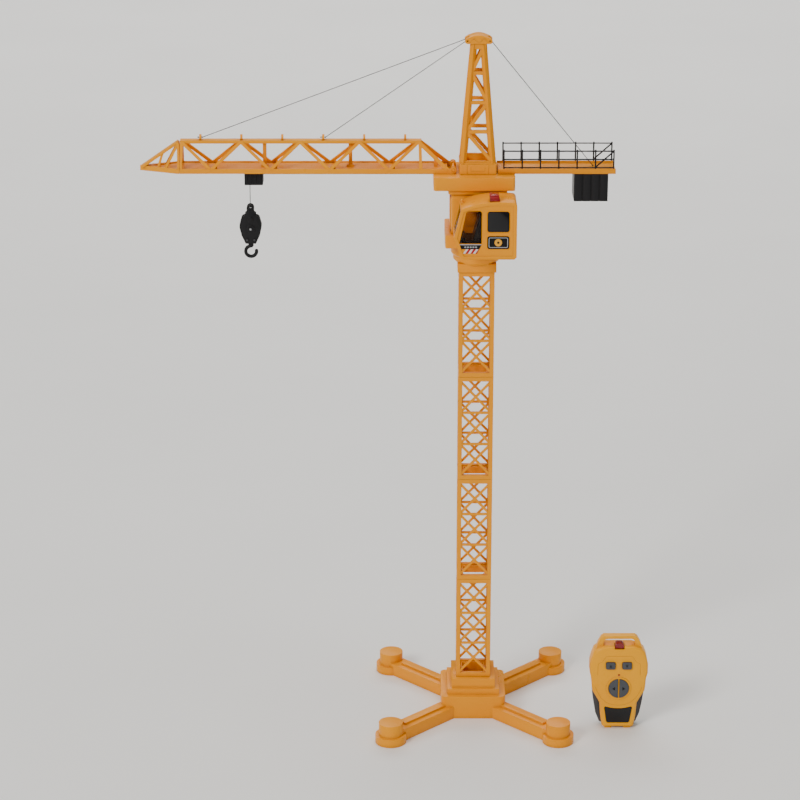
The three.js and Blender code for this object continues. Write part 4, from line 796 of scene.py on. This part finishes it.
def key_plane(x, face, z):
    """The face of a key, in millimetres from the point (x, z) on it."""
    return lambda a, b, t: Vector((x + a / MM_PER_M, face - MARK_T + t, z + b / MM_PER_M))


def key_mark(name, outline, plane, body):
    attach(outline_prism(name, outline, plane, MARK_T, BLACK_PRINT_AND_SHADE), body)


def key_marks():
    """An arrowhead on each half of the round key, an arrowhead and a bar on each upper key."""
    plane = key_plane(REMOTE_X, TURN_KEY_LO.y, TURN_KEY_Z)
    for name, s in (("left", -1), ("right", 1)):
        arrow = [(s * 9.2, 0.0), (s * 5.2, 2.8), (s * 5.2, -2.8)]
        key_mark(f"turn_{name}_mark", arrow, plane, f"turn_{name}_key")
    for node, body, s in (("remote_button_up", "raise_key", 1), ("remote_button_down", "lower_key", -1)):
        lo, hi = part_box(node)
        plane = key_plane((lo.x + hi.x) / 2, lo.y, (lo.z + hi.z) / 2)
        arrow = [(-1.6, -0.4 * s), (1.6, -0.4 * s), (0.0, 1.9 * s)]
        bar = rounded(-1.6, 1.6, min(-2.2 * s, -1.3 * s), max(-2.2 * s, -1.3 * s), 0.3, 2)
        key_mark(f"{node}_arrow", arrow, plane, body)
        key_mark(f"{node}_bar", bar, plane, body)


key_marks()


def mirrored(half):
    """A path and its mirror image across the middle of the remote, as one path."""
    return half + [(-a, b) for a, b in reversed(half) if a]


def remote_lines():
    """The two engraved lines around the keys, in millimetres from the remote's middle and the floor, drawn
    as beads in the darker yellow of painted groove shade.
    """
    keypad = [
        (-30.2, 84), (-30, 99), (-29.5, 102), (-24.5, 104.3), (-21, 109.5), (-18.6, 112.8), (-17, 113.5),
    ]
    waist = [(-33, 66), (-31, 60), (-25, 49), (-17, 41.5), (-9, 38.3), (0, 37.2)]
    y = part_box("remote_top_shell")[0].y + REMOTE_LINE_DEPTH
    for name, half in (("remote_keypad_line", keypad), ("remote_waist_line", waist)):
        path = [Vector((REMOTE_X + a / MM_PER_M, y, b / MM_PER_M)) for a, b in mirrored(half)]
        line = bead(name, path, REMOTE_LINE_R, GROOVE_SHADE_YELLOW, closed=False)
        attach(line, "remote")


remote_lines()


def remote_lamp():
    """The small red lamp between the upper keys and the round key."""
    centre = (REMOTE_X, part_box("remote_window")[0].y + 0.0001, TURN_KEY_Z + 0.0205)
    lamp = disc("remote_lamp", centre, (0, -1, 0), 0.0014, 0.0016, RED_LENS, 0.0005)
    attach(lamp, "remote")


remote_lamp()


# ---------- foot of the tower head ----------
HEAD_LINE_Y = 0.02494
HEAD_LINE_LOW = 0.0012
HEAD_LINE_HEIGHT = 0.012
HEAD_LINE_R = 0.00028
CHANNEL_INSET = 0.0035


def head_lines():
    """The upright grooves and the channel-shaped line on the foot of the tower head, drawn as beads in the
    darker yellow of painted groove shade.
    """
    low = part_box("head_lattice")[0].z + HEAD_LINE_LOW
    high = low + HEAD_LINE_HEIGHT
    channel_low, channel_high = low + CHANNEL_INSET, high - CHANNEL_INSET
    paths = {
        "groove_left": [(-14.5, low), (-14.5, high)],
        "groove_right": [(14.5, low), (14.5, high)],
        "channel": [(-9.5, channel_high), (-9.5, channel_low), (9.5, channel_low), (9.5, channel_high)],
    }
    for side, y in (("front", -HEAD_LINE_Y), ("rear", HEAD_LINE_Y)):
        for part, path in paths.items():
            points = [Vector((x / MM_PER_M, y, z)) for x, z in path]
            line = bead(f"head_{side}_{part}", points, HEAD_LINE_R, GROOVE_SHADE_YELLOW, closed=False, sides=6)
            attach(line, "turret")


head_lines()

# ---------- floor, light ----------
FLOOR_RADIUS = 30.0
FLOOR_SIDES = 64
WARM_WHITE = (1.0, 0.985, 0.96)
WORLD_COLOUR = (1.0, 0.98, 0.95, 1.0)
WORLD_STRENGTH = 0.26


def floor_material():
    s = Shader("floor")
    tone = s.span(s.noise(2.0, 4.0), 0.3, 0.7, 0.0, 1.0)
    s.set(Base_Color=s.mix(tone, (0.9, 0.9, 0.89, 1.0), (0.87, 0.87, 0.86, 1.0)), Roughness=0.7)
    s.set(Normal=s.bump(s.noise(300.0, 3.0), 0.0002, 0.2))
    return s.material


def make_floor():
    """A wide flat floor, round at its far rim."""
    bm = bmesh.new()
    bmesh.ops.create_circle(bm, cap_ends=True, segments=FLOOR_SIDES, radius=FLOOR_RADIUS)
    mesh_object("floor", bm, floor_material())


make_floor()


def area_light(name, location, target, size, power, colour):
    data = bpy.data.lights.new(name, "AREA")
    data.shape = "RECTANGLE"
    data.size, data.size_y = size
    data.energy = power
    data.color = colour
    obj = link(bpy.data.objects.new(name, data))
    obj.location = location
    direction = Vector(target) - Vector(location)
    obj.rotation_mode = "QUATERNION"
    obj.rotation_quaternion = direction.to_track_quat("-Z", "Y")


def make_lights():
    """Key, fill and top light on the object, and a wash on the floor behind it."""
    middle = (-0.05, 0, 0.5)
    area_light("key", (-5.25, -6.4, 5.78), middle, (2.88, 2.88), 602, (1.0, 0.975, 0.93))
    area_light("fill", (7.65, -6.0, 2.7), middle, (4.4, 4.4), 104, (1.0, 0.98, 0.96))
    area_light("top", (0.3, 0.2, 5.0), middle, (3.0, 2.4), 92, WARM_WHITE)
    area_light("floor_wash", (0.0, 5.5, 4.5), (0.0, 5.5, 0.0), (7.0, 4.0), 300, WARM_WHITE)
    world = bpy.data.worlds.new("world")
    scene.world = world
    world.use_nodes = True
    background = world.node_tree.nodes["Background"]
    background.inputs["Color"].default_value = WORLD_COLOUR
    background.inputs["Strength"].default_value = WORLD_STRENGTH


make_lights()
